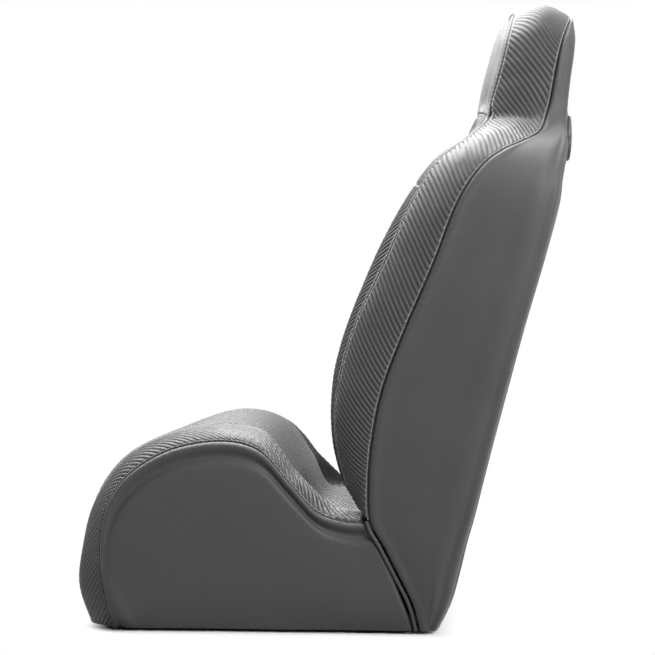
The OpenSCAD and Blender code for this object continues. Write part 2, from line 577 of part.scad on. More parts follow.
base_hoop();
main_hoop();
seat_hoop();
headrest_hoop();
bolster_rail();  // bolster_rail_left
mirror([1, 0, 0]) bolster_rail();  // bolster_rail_right
bolster_struts();
seat_risers();
rear_cross_tube();
lumbar_cross_tube();
mounting_tabs();
weld_nuts();
seat_webbing();
back_webbing();
thigh_roll_foam();
seat_cushion_foam();
seat_bolster_foam();  // seat_bolster_foam_left
mirror([1, 0, 0]) seat_bolster_foam();  // seat_bolster_foam_right
back_cushion_foam();
back_bolster_foam();  // back_bolster_foam_left
mirror([1, 0, 0]) back_bolster_foam();  // back_bolster_foam_right
shoulder_foam(false);  // shoulder_foam_front
shoulder_foam(true);  // shoulder_foam_rear
headrest_foam(false);  // headrest_foam_front
headrest_foam(true);  // headrest_foam_rear
rear_pad_foam();
seat_panel(0, FRONT_TOP, -SEAT_INNER, SEAT_INNER);  // seat_front_panel
seat_panel(FRONT_TOP, SEAT_END, -SEAT_INNER, SEAT_INNER);  // seat_center_panel
seat_panel(0, SEAT_END, SEAT_INNER, SEAT_SIDE);  // seat_strip_left
mirror([1, 0, 0]) seat_panel(0, SEAT_END, SEAT_INNER, SEAT_SIDE);  // seat_strip_right
seat_panel(0, SEAT_END, SEAT_SIDE, SEAT_HEM);  // seat_side_left
mirror([1, 0, 0]) seat_panel(0, SEAT_END, SEAT_SIDE, SEAT_HEM);  // seat_side_right
back_panel(BACK_FOOT, YOKE_FOOT, -BACK_INNER, BACK_INNER);  // back_center_panel
back_panel(BACK_FOOT, YOKE_FOOT, BACK_INNER, BACK_RIDGE);  // back_inner_strip_left
mirror([1, 0, 0]) back_panel(BACK_FOOT, YOKE_FOOT, BACK_INNER, BACK_RIDGE);  // back_inner_strip_right
back_panel(BACK_FOOT, BACK_TOP, BACK_RIDGE, BACK_SIDE);  // boxing_strip_left
mirror([1, 0, 0]) back_panel(BACK_FOOT, BACK_TOP, BACK_RIDGE, BACK_SIDE);  // boxing_strip_right
shoulder_yoke();
back_panel(HEADREST_FOOT, BACK_TOP, -BACK_RIDGE, BACK_RIDGE);  // headrest_front_panel
back_panel(0, BACK_TOP, BACK_SIDE, BACK_REAR);  // back_side_left
mirror([1, 0, 0]) back_panel(0, BACK_TOP, BACK_SIDE, BACK_REAR);  // back_side_right
back_rear_panel();
welt();  // welt_left
mirror([1, 0, 0]) welt();  // welt_right
harness_sleeve();  // harness_sleeve_left
mirror([1, 0, 0]) harness_sleeve();  // harness_sleeve_right
harness_rims_front();
harness_rims_rear();
dust_cloth();
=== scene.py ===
import math

import bmesh
import bpy
import numpy as np
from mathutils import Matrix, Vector
from mathutils.bvhtree import BVHTree


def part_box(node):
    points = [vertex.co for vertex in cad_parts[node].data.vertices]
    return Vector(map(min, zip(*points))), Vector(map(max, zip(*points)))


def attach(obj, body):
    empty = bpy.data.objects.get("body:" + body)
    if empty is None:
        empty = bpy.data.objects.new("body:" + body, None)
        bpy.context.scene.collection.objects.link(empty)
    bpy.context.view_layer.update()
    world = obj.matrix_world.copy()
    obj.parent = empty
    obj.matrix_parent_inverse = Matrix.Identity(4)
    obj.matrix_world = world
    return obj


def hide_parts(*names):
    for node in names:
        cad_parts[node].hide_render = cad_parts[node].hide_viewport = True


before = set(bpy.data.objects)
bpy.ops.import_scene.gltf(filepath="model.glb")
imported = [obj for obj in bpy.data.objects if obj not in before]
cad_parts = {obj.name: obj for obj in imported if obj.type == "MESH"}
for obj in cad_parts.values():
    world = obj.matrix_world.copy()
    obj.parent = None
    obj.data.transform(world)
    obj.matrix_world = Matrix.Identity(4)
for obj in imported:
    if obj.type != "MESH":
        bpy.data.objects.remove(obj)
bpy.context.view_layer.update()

# ---- Studio
# The seat stands on a pale floor that runs out into white. A wide softbox hangs over it, a
# strip light stands behind, and the near side is left in soft shade.
scene = bpy.context.scene
scene.view_settings.view_transform = "Standard"

WHITE = (1, 1, 1, 1)


class Flow:
    """What flows out of a socket. Numbers can be reckoned with like plain ones."""

    def __init__(self, tree, socket):
        self.tree, self.socket = tree, socket


for sign, operation in (("add", "ADD"), ("sub", "SUBTRACT"), ("mul", "MULTIPLY"),
                        ("truediv", "DIVIDE"), ("pow", "POWER")):
    setattr(Flow, f"__{sign}__", lambda a, b, kind=operation: maths(a.tree, kind, a, b))
    setattr(Flow, f"__r{sign}__", lambda a, b, kind=operation: maths(a.tree, kind, b, a))


def connect(value, socket):
    """Links what flows in to a socket, or sets the socket to a plain value."""
    value = value.socket if isinstance(value, Flow) else value
    if isinstance(value, bpy.types.NodeSocket):
        socket.id_data.links.new(value, socket)
    else:
        socket.default_value = value


def node(tree, kind, inputs=None, **settings):
    """A new node with its settings and its inputs."""
    made = tree.nodes.new(kind)
    for name, value in settings.items():
        setattr(made, name, value)
    for socket, value in (inputs or {}).items():
        connect(value, made.inputs[socket])
    return made


def flow(tree, kind, inputs=None, pick=0, **settings):
    """One output of a new node."""
    return Flow(tree, node(tree, kind, inputs, **settings).outputs[pick])


def maths(tree, operation, *values):
    return flow(tree, "ShaderNodeMath", dict(enumerate(values)), operation=operation)


def vector_maths(operation, inputs, pick=0):
    return flow(inputs[0].tree, "ShaderNodeVectorMath", inputs, pick, operation=operation)


def smooth_step(value, start, end, low=0.0, high=1.0):
    """Turns smoothly from low at start to high at end."""
    return flow(value.tree, "ShaderNodeMapRange",
                {"Value": value, "From Min": start, "From Max": end, "To Min": low,
                 "To Max": high}, interpolation_type="SMOOTHSTEP")


def axes_of(vector):
    """The three numbers of a vector."""
    made = node(vector.tree, "ShaderNodeSeparateXYZ", {0: vector})
    return [Flow(vector.tree, socket) for socket in made.outputs]


def blend_colour(mask, low, high):
    """Colour that goes from low to high with the mask."""
    mix = node(mask.tree, "ShaderNodeMix", {"Factor": mask}, data_type="RGBA")
    for socket, colour in ((mix.inputs[6], low), (mix.inputs[7], high)):
        connect((*colour, 1) if isinstance(colour, tuple) else colour, socket)
    return Flow(mask.tree, mix.outputs[2])


def seen_as_background(tree):
    """1 for what the camera, a mirror or glass sees, and 0 for what only lights the seat."""
    path = node(tree, "ShaderNodeLightPath").outputs
    direct = maths(tree, "MAXIMUM", path["Is Camera Ray"], path["Is Glossy Ray"])
    return maths(tree, "MAXIMUM", direct, path["Is Transmission Ray"])


def blank_tree(owner):
    """The emptied node tree of a world or a material."""
    owner.use_nodes = True
    owner.node_tree.nodes.clear()
    return owner.node_tree


def placed(name, data):
    """A new object in the scene."""
    made = bpy.data.objects.new(name, data)
    scene.collection.objects.link(made)
    return made


room = bpy.data.worlds.new("pale_room")
scene.world = room
tree = blank_tree(room)
# The wall in front of the seat is dark, and the ones beside and behind it are pale
way = axes_of(flow(tree, "ShaderNodeTexCoord", pick="Generated"))[1]
wall = smooth_step(way, -0.75, 0.25, 0.04, 0.34)
room_light = flow(tree, "ShaderNodeBackground", {"Color": (0.93, 0.96, 1, 1), "Strength": wall})
white_wall = flow(tree, "ShaderNodeBackground", {"Color": WHITE, "Strength": 1.0})
mixed = flow(tree, "ShaderNodeMixShader",
             {0: seen_as_background(tree), 1: room_light, 2: white_wall})
node(tree, "ShaderNodeOutputWorld", {"Surface": mixed})

FLOOR_RADIUS, FLOOR_CORNERS, FLOOR_DROP = 5.0, 64, 0.0006
SHADE_HALF = (0.24, 0.235, 0)
SHADE_FADE = 0.05
floor_mesh = bpy.data.meshes.new("studio_floor")
turns = np.linspace(0, math.tau, FLOOR_CORNERS + 1)[:-1]
floor_mesh.from_pydata(
    [(FLOOR_RADIUS * math.cos(a), FLOOR_RADIUS * math.sin(a), -FLOOR_DROP) for a in turns],
    [], [range(FLOOR_CORNERS)])
paper = bpy.data.materials.new("floor_paper")
tree = blank_tree(paper)
# The floor is white from a few fingers outside the seat, and holds its shadow close to it
span = vector_maths("ABSOLUTE", {0: flow(tree, "ShaderNodeTexCoord", pick="Object")})
span = vector_maths("SUBTRACT", {0: span, 1: SHADE_HALF})
span = vector_maths("MAXIMUM", {0: span, 1: (0, 0, 0)})
away = smooth_step(vector_maths("LENGTH", {0: span}, "Value"), 0.0, SHADE_FADE)
away = away * seen_as_background(tree)
grey = blend_colour(seen_as_background(tree), (0.12, 0.12, 0.12), (0.9, 0.9, 0.89))
matt = flow(tree, "ShaderNodeBsdfDiffuse", {"Color": grey})
glow = flow(tree, "ShaderNodeEmission", {"Color": WHITE, "Strength": 1.0})
mixed = flow(tree, "ShaderNodeMixShader", {0: away, 1: matt, 2: glow})
node(tree, "ShaderNodeOutputMaterial", {"Surface": mixed})
floor_mesh.materials.append(paper)
placed("studio_floor", floor_mesh)

AIM = Vector((0, 0.075, 0.449))
CAMERA_DISTANCE, CAMERA_TURN = 3.0, math.radians(94.4)
back = Vector((math.sin(CAMERA_TURN), -math.cos(CAMERA_TURN), 0))
lens = bpy.data.cameras.new("camera")
lens.lens, lens.sensor_width = 102.9, 36


def pointed(lamp, place, way):
    """Puts a lamp or a camera at a place and turns it this way."""
    lamp.location = place
    lamp.rotation_euler = way.to_track_quat("-Z", "Y").to_euler()
    return lamp


def softbox(name, place, target, width, depth, watts):
    """A soft rectangular lamp that points at the target."""
    light = bpy.data.lights.new(name, "AREA")
    light.shape = "RECTANGLE"
    light.size, light.size_y, light.energy = width, depth, watts
    pointed(placed(name, light), place, Vector(target) - Vector(place))


scene.camera = pointed(placed("camera", lens), AIM + CAMERA_DISTANCE * back, -back)
softbox("overhead_softbox", (-0.5, -0.3, 2.0), (0, 0.1, 0.4), 1.6, 2.0, 130)
softbox("side_softbox", (1.9, 1.5, 1.7), (0.26, 0.4, 0.65), 1.0, 1.0, 46)
softbox("rear_strip_light", (0.5, 2.3, 1.2), (0.1, 0.35, 0.5), 0.4, 1.6, 16)

# ---- Welded frame
# Bent and welded steel tubes, powder coated in satin black. Each tube keeps the shape that
# the construction gives it, and only its finish is made here.
BODY = "root"


def node_group(kind, name, inputs, outputs):
    """An empty node group, what flows into it by name, and the sockets at its end. An input
    is given as its default number or as its kind."""
    group = bpy.data.node_groups.new(name, kind)
    for key, value in inputs.items():
        plain = {int: "Int", float: "Float"}.get(type(value))
        socket = group.interface.new_socket(name=key, in_out="INPUT",
                                            socket_type="NodeSocket" + (plain or value))
        if plain:
            socket.default_value = value
    for key, value in outputs.items():
        group.interface.new_socket(name=key, in_out="OUTPUT", socket_type="NodeSocket" + value)
    start, end = node(group, "NodeGroupInput"), node(group, "NodeGroupOutput")
    return group, {s.name: Flow(group, s) for s in start.outputs}, end.inputs


def from_group(group, place, **values):
    """What flows out of a shader group at a place, by name."""
    inputs = {key.replace("_", " "): value for key, value in values.items()}
    made = node(place.tree, "ShaderNodeGroup", {"Place": place, **inputs}, node_tree=group)
    return {s.name: Flow(place.tree, s) for s in made.outputs}


def noise(place, scale, detail, distortion=0.0):
    return flow(place.tree, "ShaderNodeTexNoise",
                {"Vector": place, "Scale": scale, "Detail": detail, "Distortion": distortion})


# Uneven handling: patches that are a little glossier or paler, and fine scuffs
handling, given, result = node_group(
    "ShaderNodeTree", "handling",
    {"Place": "Vector", "Patch Scale": 9.0, "Scuff Scale": 260.0, "Scuffing": 0.3},
    {"Patches": "Float", "Scuffs": "Float"})
patches = noise(given["Place"], given["Patch Scale"], 5.0)
streaks = noise(given["Place"], given["Scuff Scale"], 3.0, 1.4)
scuffs = smooth_step(streaks, 0.6, 0.75) * smooth_step(patches, 0.5, 0.7)
connect(patches, result["Patches"])
connect(scuffs * given["Scuffing"], result["Scuffs"])


class Finish:
    """A material with a Principled shader, whose constants are set on its own sockets."""

    def __init__(self, name, roughness, metallic=0.0, sheen=0.0):
        self.material = bpy.data.materials.new(name)
        tree = blank_tree(self.material)
        self.shader = node(tree, "ShaderNodeBsdfPrincipled",
                           {"Roughness": roughness, "Metallic": metallic,
                            "Sheen Weight": sheen, "Sheen Roughness": 0.4})
        node(tree, "ShaderNodeOutputMaterial", {"Surface": self.shader.outputs[0]})
        self.place = flow(tree, "ShaderNodeTexCoord", pick="Object")

    def handled(self, roughness, spread, **values):
        """Lets handling vary the roughness, and returns its patches and its scuffs."""
        worn = from_group(handling, self.place, **values)
        rough = smooth_step(worn["Patches"], 0.3, 0.7, roughness - spread, roughness + spread)
        connect(rough, self.shader.inputs["Roughness"])
        return worn["Patches"], worn["Scuffs"]

    def paint(self, mask, low, high):
        connect(blend_colour(mask, low, high), self.shader.inputs["Base Color"])

    def bump(self, height, distance, strength):
        raised = flow(height.tree, "ShaderNodeBump",
                      {"Height": height, "Distance": distance, "Strength": strength})
        connect(raised, self.shader.inputs["Normal"])


powder_coat = Finish("powder_coat", 0.45)
patches, scuffs = powder_coat.handled(0.42, 0.1, Patch_Scale=22.0, Scuff_Scale=180.0,
                                      Scuffing=0.8)
powder_coat.paint(scuffs, (0.028, 0.028, 0.03), (0.16, 0.16, 0.165))
powder_coat.bump(noise(powder_coat.place, 900.0, 2.0), 0.0002, 0.5)
FRAME_TUBES = [
    "base_hoop", "main_hoop", "seat_hoop", "headrest_hoop", "bolster_rail_left",
    "bolster_rail_right", "bolster_struts", "seat_risers", "rear_cross_tube",
    "lumbar_cross_tube", "mounting_tabs",
]


def dress(mesh, *finishes):
    """Gives a mesh these finishes in place of its own."""
    mesh.materials.clear()
    for made in finishes:
        mesh.materials.append(made.material)


def refinish(names, made):
    """Gives CAD nodes a better finish."""
    for name in names:
        dress(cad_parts[name].data, made)


refinish(FRAME_TUBES, powder_coat)

# ---- Mounting tabs and weld nuts
# Laser-cut steel plates with hex weld nuts on top. The nuts are zinc plated with a faint
# yellow passivate, and the plates carry the paint of the frame.
zinc_plate = Finish("zinc_plate", 0.35, metallic=1.0)
patches, scuffs = zinc_plate.handled(0.36, 0.1, Patch_Scale=60.0, Scuff_Scale=500.0, Scuffing=0.6)
plating = blend_colour(smooth_step(patches, 0.35, 0.65), (0.6, 0.6, 0.58), (0.66, 0.6, 0.46))
zinc_plate.paint(scuffs, plating, (0.4, 0.39, 0.37))
zinc_plate.bump(noise(zinc_plate.place, 1500.0, 1.0), 0.00005, 0.4)
refinish(["weld_nuts"], zinc_plate)

# ---- Elastic webbing
# Flat woven elastic straps, pulled round the tubes and stapled to themselves. Rubber cords run
# along each strap, so it has fine ridges and a woven face.
SHARP_EDGE = math.radians(60)
weave, given, result = node_group("ShaderNodeTree", "weave",
                                  {"Place": "Vector", "Threads": 900.0},
                                  {"Height": "Float", "Gaps": "Float"})
x, y, z = axes_of(given["Place"])
crossing = maths(weave, "SINE", x * given["Threads"]) \
    * maths(weave, "SINE", (y + z) * given["Threads"])
connect(smooth_step(crossing, -1.0, 1.0), result["Height"])
connect(smooth_step(crossing, -0.2, -0.9), result["Gaps"])

strap_elastic = Finish("strap_elastic", 0.85, sheen=0.2)
threads = from_group(weave, strap_elastic.place, Threads=2400.0)
strap_elastic.paint(threads["Gaps"], (0.055, 0.055, 0.06), (0.012, 0.012, 0.013))
strap_elastic.bump(threads["Height"], 0.0004, 0.7)


def copy_of(name):
    """A welded copy of a CAD node's mesh as a bmesh, with its faces outwards."""
    copy = bmesh.new()
    copy.from_mesh(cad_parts[name].data)
    bmesh.ops.remove_doubles(copy, verts=copy.verts, dist=1e-5)
    bmesh.ops.recalc_face_normals(copy, faces=copy.faces)
    return copy


def mesh_from(name, shape):
    """A mesh made from a bmesh, which is then let go."""
    mesh = bpy.data.meshes.new(name)
    shape.to_mesh(mesh)
    shape.free()
    return mesh


def add_piece(name, mesh, slot, *finishes, stands_for=None):
    """Links a mesh as a piece of the seat, which rides on the frame."""
    if finishes:
        dress(mesh, *finishes)
    piece = placed(name, mesh)
    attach(piece, BODY)
    if stands_for:
        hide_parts(stands_for)
    return piece


for name in ("seat_webbing", "back_webbing"):
    straps = copy_of(name)
    sharp = [e for e in straps.edges if e.is_manifold and e.calc_face_angle(0) > SHARP_EDGE]
    bmesh.ops.bevel(straps, geom=sharp, offset=0.0004, segments=1, affect="EDGES")
    add_piece(name + "_straps", mesh_from(name + "_straps", straps), "webbing", strap_elastic,
              stands_for=name)

# ---- Foam pads
# Cut and glued polyurethane foam on the webbing and round the tubes. Each pad is rounded at its
# cut edges and lies a few millimetres inside the cover, which pulls it in at the seams.
PAD_VOXEL, PAD_SHRINK = 0.009, 0.0035
# The tight cover presses the cushion's pads down and the back's pads to the rear
PAD_PRESS = 0.006
TO_REAR, DOWN = (0, -1.6, 0), (0, 0.3, 0.9)
PRESSED_WAY = {
    "back_bolster_foam": TO_REAR, "back_cushion_foam": TO_REAR, "shoulder_foam_front": TO_REAR,
    "headrest_foam_front": TO_REAR, "seat_cushion_foam": DOWN, "seat_bolster_foam": DOWN,
}
cut_foam = Finish("cut_foam", 0.95, sheen=0.1)
cells = flow(cut_foam.place.tree, "ShaderNodeTexVoronoi",
             {"Vector": cut_foam.place, "Scale": 850.0}, "Distance")
pores = smooth_step(cells, 0.15, 0.5)
cut_foam.paint(pores, (0.42, 0.37, 0.22), (0.72, 0.66, 0.45))
cut_foam.bump(pores, 0.0004, 0.8)


def plain_copy(source, name):
    """The object's mesh with its modifiers applied, as a new mesh. The object goes."""
    bpy.context.view_layer.update()
    graph = bpy.context.evaluated_depsgraph_get()
    mesh = bpy.data.meshes.new_from_object(source.evaluated_get(graph))
    mesh.name = name
    bpy.data.objects.remove(source)
    return mesh


def values_of(items, key, width=3):
    """A vector or a number of every item, as an array."""
    values = np.zeros(len(items) * width, np.float32)
    items.foreach_get(key, values)
    return values.reshape(-1, width)


for name in [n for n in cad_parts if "_foam" in n]:
    blank = placed(name + "_blank", mesh_from(name + "_blank", copy_of(name)))
    remesh = blank.modifiers.new("foam", "REMESH")
    remesh.mode, remesh.voxel_size = "VOXEL", PAD_VOXEL
    relax = blank.modifiers.new("soft", "SMOOTH")
    relax.iterations, relax.factor = 3, 0.5
    mesh = plain_copy(blank, name + "_pad")
    normals = values_of(mesh.vertex_normals, "vector")
    way = next((w for key, w in PRESSED_WAY.items() if name.startswith(key)), (0, 0, 0))
    depth = PAD_SHRINK + PAD_PRESS * np.clip(normals @ np.array(way), 0, 1)[:, None]
    mesh.vertices.foreach_set("co", (values_of(mesh.vertices, "co") - normals * depth).ravel())
    mesh.update()
    mesh.shade_smooth()
    add_piece(name + "_pad", mesh, "foam", cut_foam, stands_for=name)

# ---- Shape of the cover
# The cover is cut from flat panels along seam lines and pulled over the pads. Each line is a
# row of points in millimetres, given for one half: the cushion's run from the front hem over
# the top into the crease, and the backrest's from the floor to the top of the headrest.
MM = 0.001
MIRROR = np.array([-1, 1, 1], np.float32)
seat_center = [[0, -278, 4], [0, -303, 62], [0, -301, 126], [0, -281, 196], [0, -236, 250],
    [0, -164, 286], [0, -72, 316], [0, -4, 301], [0, 42, 240], [0, 72, 193], [0, 114, 181],
    [0, 160, 175]]
seat_inner_seam = [[160, -272, 4], [162, -287, 62], [164, -283, 126], [166, -264, 191],
    [168, -218, 252], [170, -150, 286], [170, -74, 304], [170, -6, 292], [170, 37, 238],
    [170, 66, 187], [170, 112, 178], [170, 159, 172]]
seat_ridge = [[206, -262, 4], [206, -282, 62], [206, -275, 126], [206, -256, 190],
    [206, -212, 250], [206, -146, 286], [206, -72, 298], [206, -2, 283], [208, 48, 229],
    [210, 92, 188], [212, 126, 176], [214, 158, 170]]
seat_side_seam = [[240, -224, 4], [246, -241, 62], [247, -246, 122], [247, -237, 180],
    [247, -204, 230], [247, -142, 268], [247, -67, 282], [247, -8, 269], [247, 37, 222],
    [247, 76, 180], [247, 116, 165], [248, 156, 163]]
seat_hem = [[238, -214, 4], [246, -200, 4], [246, -180, 4], [246, -155, 4], [246, -122, 4],
    [246, -78, 4], [246, -30, 4], [246, 20, 4], [246, 70, 4], [246, 120, 4], [246, 174, 4],
    [246, 227, 4]]
back_side_seam = [[246, 228, 4], [250, 218, 42], [253, 199, 81], [256, 176, 126], [257, 156, 165],
    [259, 154, 226], [261, 160, 288], [262, 175, 360], [263, 206, 442], [264, 248, 540],
    [263, 284, 632], [256, 318, 684], [241, 350, 710], [212, 380, 726], [162, 408, 746],
    [131, 420, 780], [125, 430, 828], [121, 438, 866], [106, 447, 897], [66, 458, 926],
    [0, 460, 939]]


def on_joint(share):
    """The first points of a front line, which lie on the joint with the cushion."""
    return [[x * share, y, z] for x, y, z in back_side_seam[:4]]


back_center = on_joint(0) + [[0, 168, 178], [0, 172, 220], [0, 176, 292], [0, 184, 370],
    [0, 204, 448], [0, 235, 540], [0, 265, 628], [0, 282, 680], [0, 292, 710], [0, 303, 742],
    [0, 313, 772], [0, 316, 796], [0, 322, 828], [0, 332, 866], [0, 344, 906], [0, 359, 934],
    [0, 375, 946]]
back_inner_seam = on_joint(0.56) + [[142, 160, 180], [140, 162, 222], [138, 166, 294],
    [138, 174, 372], [138, 195, 452], [138, 227, 545], [136, 254, 632], [130, 273, 682],
    [120, 285, 712], [104, 299, 742], [82, 311, 770], [62, 318, 794], [60, 325, 826],
    [58, 335, 864], [52, 347, 902], [36, 360, 931], [0, 375, 946]]
back_crest = on_joint(0.76) + [[194, 134, 190], [194, 114, 228], [192, 102, 298], [192, 104, 376],
    [191, 126, 460], [190, 163, 552], [186, 205, 634], [178, 242, 688], [168, 269, 716],
    [146, 303, 742], [111, 316, 768], [88, 325, 792], [86, 333, 824], [84, 343, 861],
    [78, 353, 899], [54, 362, 931], [0, 372, 947]]
back_ridge_seam = on_joint(0.88) + [[226, 140, 180], [227, 118, 226], [228, 104, 296],
    [228, 110, 372], [227, 135, 456], [226, 178, 548], [221, 216, 632], [212, 245, 684],
    [200, 274, 713], [174, 304, 738], [132, 328, 762], [108, 334, 788], [105, 343, 822],
    [103, 353, 858], [94, 362, 896], [62, 370, 928], [0, 375, 946]]
boxing_middle = on_joint(0.95) + [[244, 148, 172], [249, 134, 225], [251, 128, 292],
    [251, 138, 366], [250, 166, 450], [249, 210, 545], [246, 249, 634], [238, 281, 690],
    [224, 312, 719], [196, 342, 741], [150, 370, 760], [126, 378, 786], [123, 386, 826],
    [120, 396, 866], [107, 407, 914], [70, 416, 946], [0, 418, 957]]
back_corner = [[244, 243, 4], [252, 256, 42], [256, 264, 86], [258, 276, 130], [259, 288, 170],
    [260, 303, 228], [261, 319, 290], [262, 338, 362], [263, 361, 446], [263, 390, 544],
    [260, 411, 630], [250, 420, 674], [230, 429, 703], [200, 437, 728], [150, 443, 754],
    [121, 446, 786], [115, 451, 832], [110, 456, 868], [95, 461, 898], [58, 464, 918],
    [0, 465, 928]]
rear_seam = [[218, 256, 4], [222, 274, 42], [226, 286, 86], [228, 297, 130], [228, 309, 170],
    [228, 324, 228], [228, 340, 290], [228, 359, 362], [228, 382, 446], [228, 411, 544],
    [226, 433, 630], [218, 438, 668], [204, 443, 696], [180, 447, 722], [134, 450, 752],
    [99, 452, 786], [94, 457, 832], [90, 462, 868], [76, 465, 894], [46, 466, 908],
    [0, 467, 918]]
rear_center = [[0, 258, 4], [0, 276, 42], [0, 288, 86], [0, 299, 130], [0, 310, 170],
    [0, 325, 228], [0, 341, 290], [0, 360, 362], [0, 383, 446], [0, 412, 544],
    [0, 434, 630], [0, 440, 670], [0, 445, 698], [0, 449, 724], [0, 452, 752],
    [0, 454, 786], [0, 459, 832], [0, 464, 868],
    [0, 466, 892], [0, 467, 906], [0, 467, 915]]
WELT = 6.0
JOINT_GAP = WELT + 2.0


def between(a, b, share, out=0.0):
    """The line at a share of the way from one line to another, moved out to the side."""
    return np.array(a) * (1 - share) + np.array(b) * share + np.array([out, 0, 0])


def side_line(share, out):
    """A line down the cushion's side, whose last point follows the bowed joint."""
    line = between(seat_side_seam, seat_hem, share, out)
    line[0, 0] -= 0.75 * out
    line[-1, 1] += 24 * share * (1 - share)
    return line


seat_middle = np.column_stack([
    np.array(seat_inner_seam)[:, 0] * 0.52,
    between(seat_center, seat_inner_seam, 0.3)[:, 1:],
])
seat_lines = np.array([
    seat_center, seat_middle, seat_inner_seam, seat_ridge, seat_side_seam,
    side_line(0.14, 8), side_line(0.45, 10), side_line(0.8, 8), seat_hem,
], float)
seat_lines[:, -1, 1] -= JOINT_GAP
seat_lines *= MM
back_lines = np.array([
    back_center, back_inner_seam, back_crest, back_ridge_seam, boxing_middle, back_side_seam,
    between(back_side_seam, back_corner, 0.25, 2), between(back_side_seam, back_corner, 0.65, 3),
    back_corner, rear_seam, rear_center,
], float) * MM
# Each line has a number across, and each of its points is a station along
SEAT_INNER, SEAT_RIDGE, SEAT_SIDE, SEAT_HANG, SEAT_HEM = 2, 3, 4, 6, 8
BACK_INNER, BACK_RIDGE, BACK_SIDE, BACK_REAR, BACK_MID = 1, 3, 5, 9, 10
FRONT_TOP, SEAT_END = 3, 11
BACK_FOOT, YOKE_FOOT, HEADREST_FOOT, BACK_TOP = 4, 10.5, 14.5, 20


def pull(t):
    """Weights of four neighbouring points at t between the middle two, for a fair curve."""
    return 0.5 * np.stack([
        -t + 2 * t**2 - t**3, 2 - 5 * t**2 + 3 * t**3, t + 4 * t**2 - 3 * t**3, t**3 - t**2,
    ])


def on_cover(lines, station, line):
    """Points at a station along, and at a line across: below 0 on the right half."""
    station, line = np.broadcast_arrays(np.asarray(station, float), np.asarray(line, float))
    last, top = len(lines) - 1, lines.shape[1] - 1
    closed = last == BACK_MID
    whole = np.concatenate([lines[1:2] * MIRROR, lines,
                            lines[last - 1:last] * MIRROR if closed else lines[last:]])
    beyond_top = whole[:, top - 1:top] * MIRROR if closed else whole[:, top:]
    whole = np.concatenate([whole, beyond_top], axis=1)
    across = np.abs(line)
    beyond = across > last
    across = np.where(beyond, 2 * last - across, across)
    i = np.clip(across.astype(int), 0, last - 1)
    k = np.clip(station.astype(int), 0, top - 1)
    across_pull, along_pull = pull(across - i), pull(station - k)
    points = 0
    for a in range(4):
        for b in range(4):
            share = (across_pull[a] * along_pull[b])[..., None]
            points = points + share * whole[i + a, np.maximum(k - 1 + b, 0)]
    points[..., 0] *= np.where((line < 0) | beyond, -1.0, 1.0)
    return points


def outward_at(lines, station, line):
    """Unit vectors that point out of the cover."""
    last, top = len(lines) - 1, lines.shape[1] - 1
    farthest = 2 * last if last == BACK_MID else last
    station = np.clip(station, 0, top - 0.1) if last == BACK_MID else station
    e = 0.02
    along = on_cover(lines, np.minimum(station + e, top), line) \
        - on_cover(lines, np.maximum(station - e, 0), line)
    across = on_cover(lines, station, np.minimum(line + e, farthest)) \
        - on_cover(lines, station, np.maximum(line - e, -last))
    out = np.cross(across, along)
    return out / np.maximum(np.linalg.norm(out, axis=-1, keepdims=True), 1e-12)


def run_length(points):
    """How far each point of a line is from its first, along the line."""
    steps = np.linalg.norm(np.diff(points, axis=0), axis=-1)
    return np.concatenate([np.zeros((1,) + steps.shape[1:]), np.cumsum(steps, axis=0)])


def ease(value, start, end):
    """0 before start and 1 after end, with a smooth turn between them."""
    t = np.clip((value - start) / (end - start), 0, 1)
    return t * t * (3 - 2 * t)


# ---- Cutting and sewing a panel
# A panel is vinyl on a thin sewn foam. Its edges are pulled down into the seams, where a few
# millimetres are turned in as the seam allowance, and it stands proud between them.
TURNED_IN = 5 * MM
NEAR_SEAM = np.array([0, 0.9, 1.9, 3.1, 4.6]) * MM
SHORT_RUN = 40 * MM
SAMPLES_ALONG, SAMPLES_ACROSS, SAMPLES_WHOLE = 700, 240, 2000
GROOVE_STEP = 1.7 * MM
SEAM_DEPTH = dict.fromkeys(("low", "high", "start", "end"), 2.4 * MM)
SIDE_DEPTH = 3.0 * MM
# How far a seam pulls a panel down, and how wide the painted shade in the seam is
SEAM_WIDTH, PAINTED_SHADE_WIDTH = 2.6 * MM, 1.6 * MM


def spaced(total, step):
    """Even distances from 0 to total, with finer ones next to both seams where the step is
    too wide to show a groove."""
    even = np.linspace(0, total, max(4, int(round(total / step))) + 1)
    if step <= GROOVE_STEP or total < SHORT_RUN:
        return even
    near = NEAR_SEAM[-1] + 0.4 * step
    return np.concatenate([NEAR_SEAM, even[(even > near) & (even < total - near)],
                           total - NEAR_SEAM[::-1]])


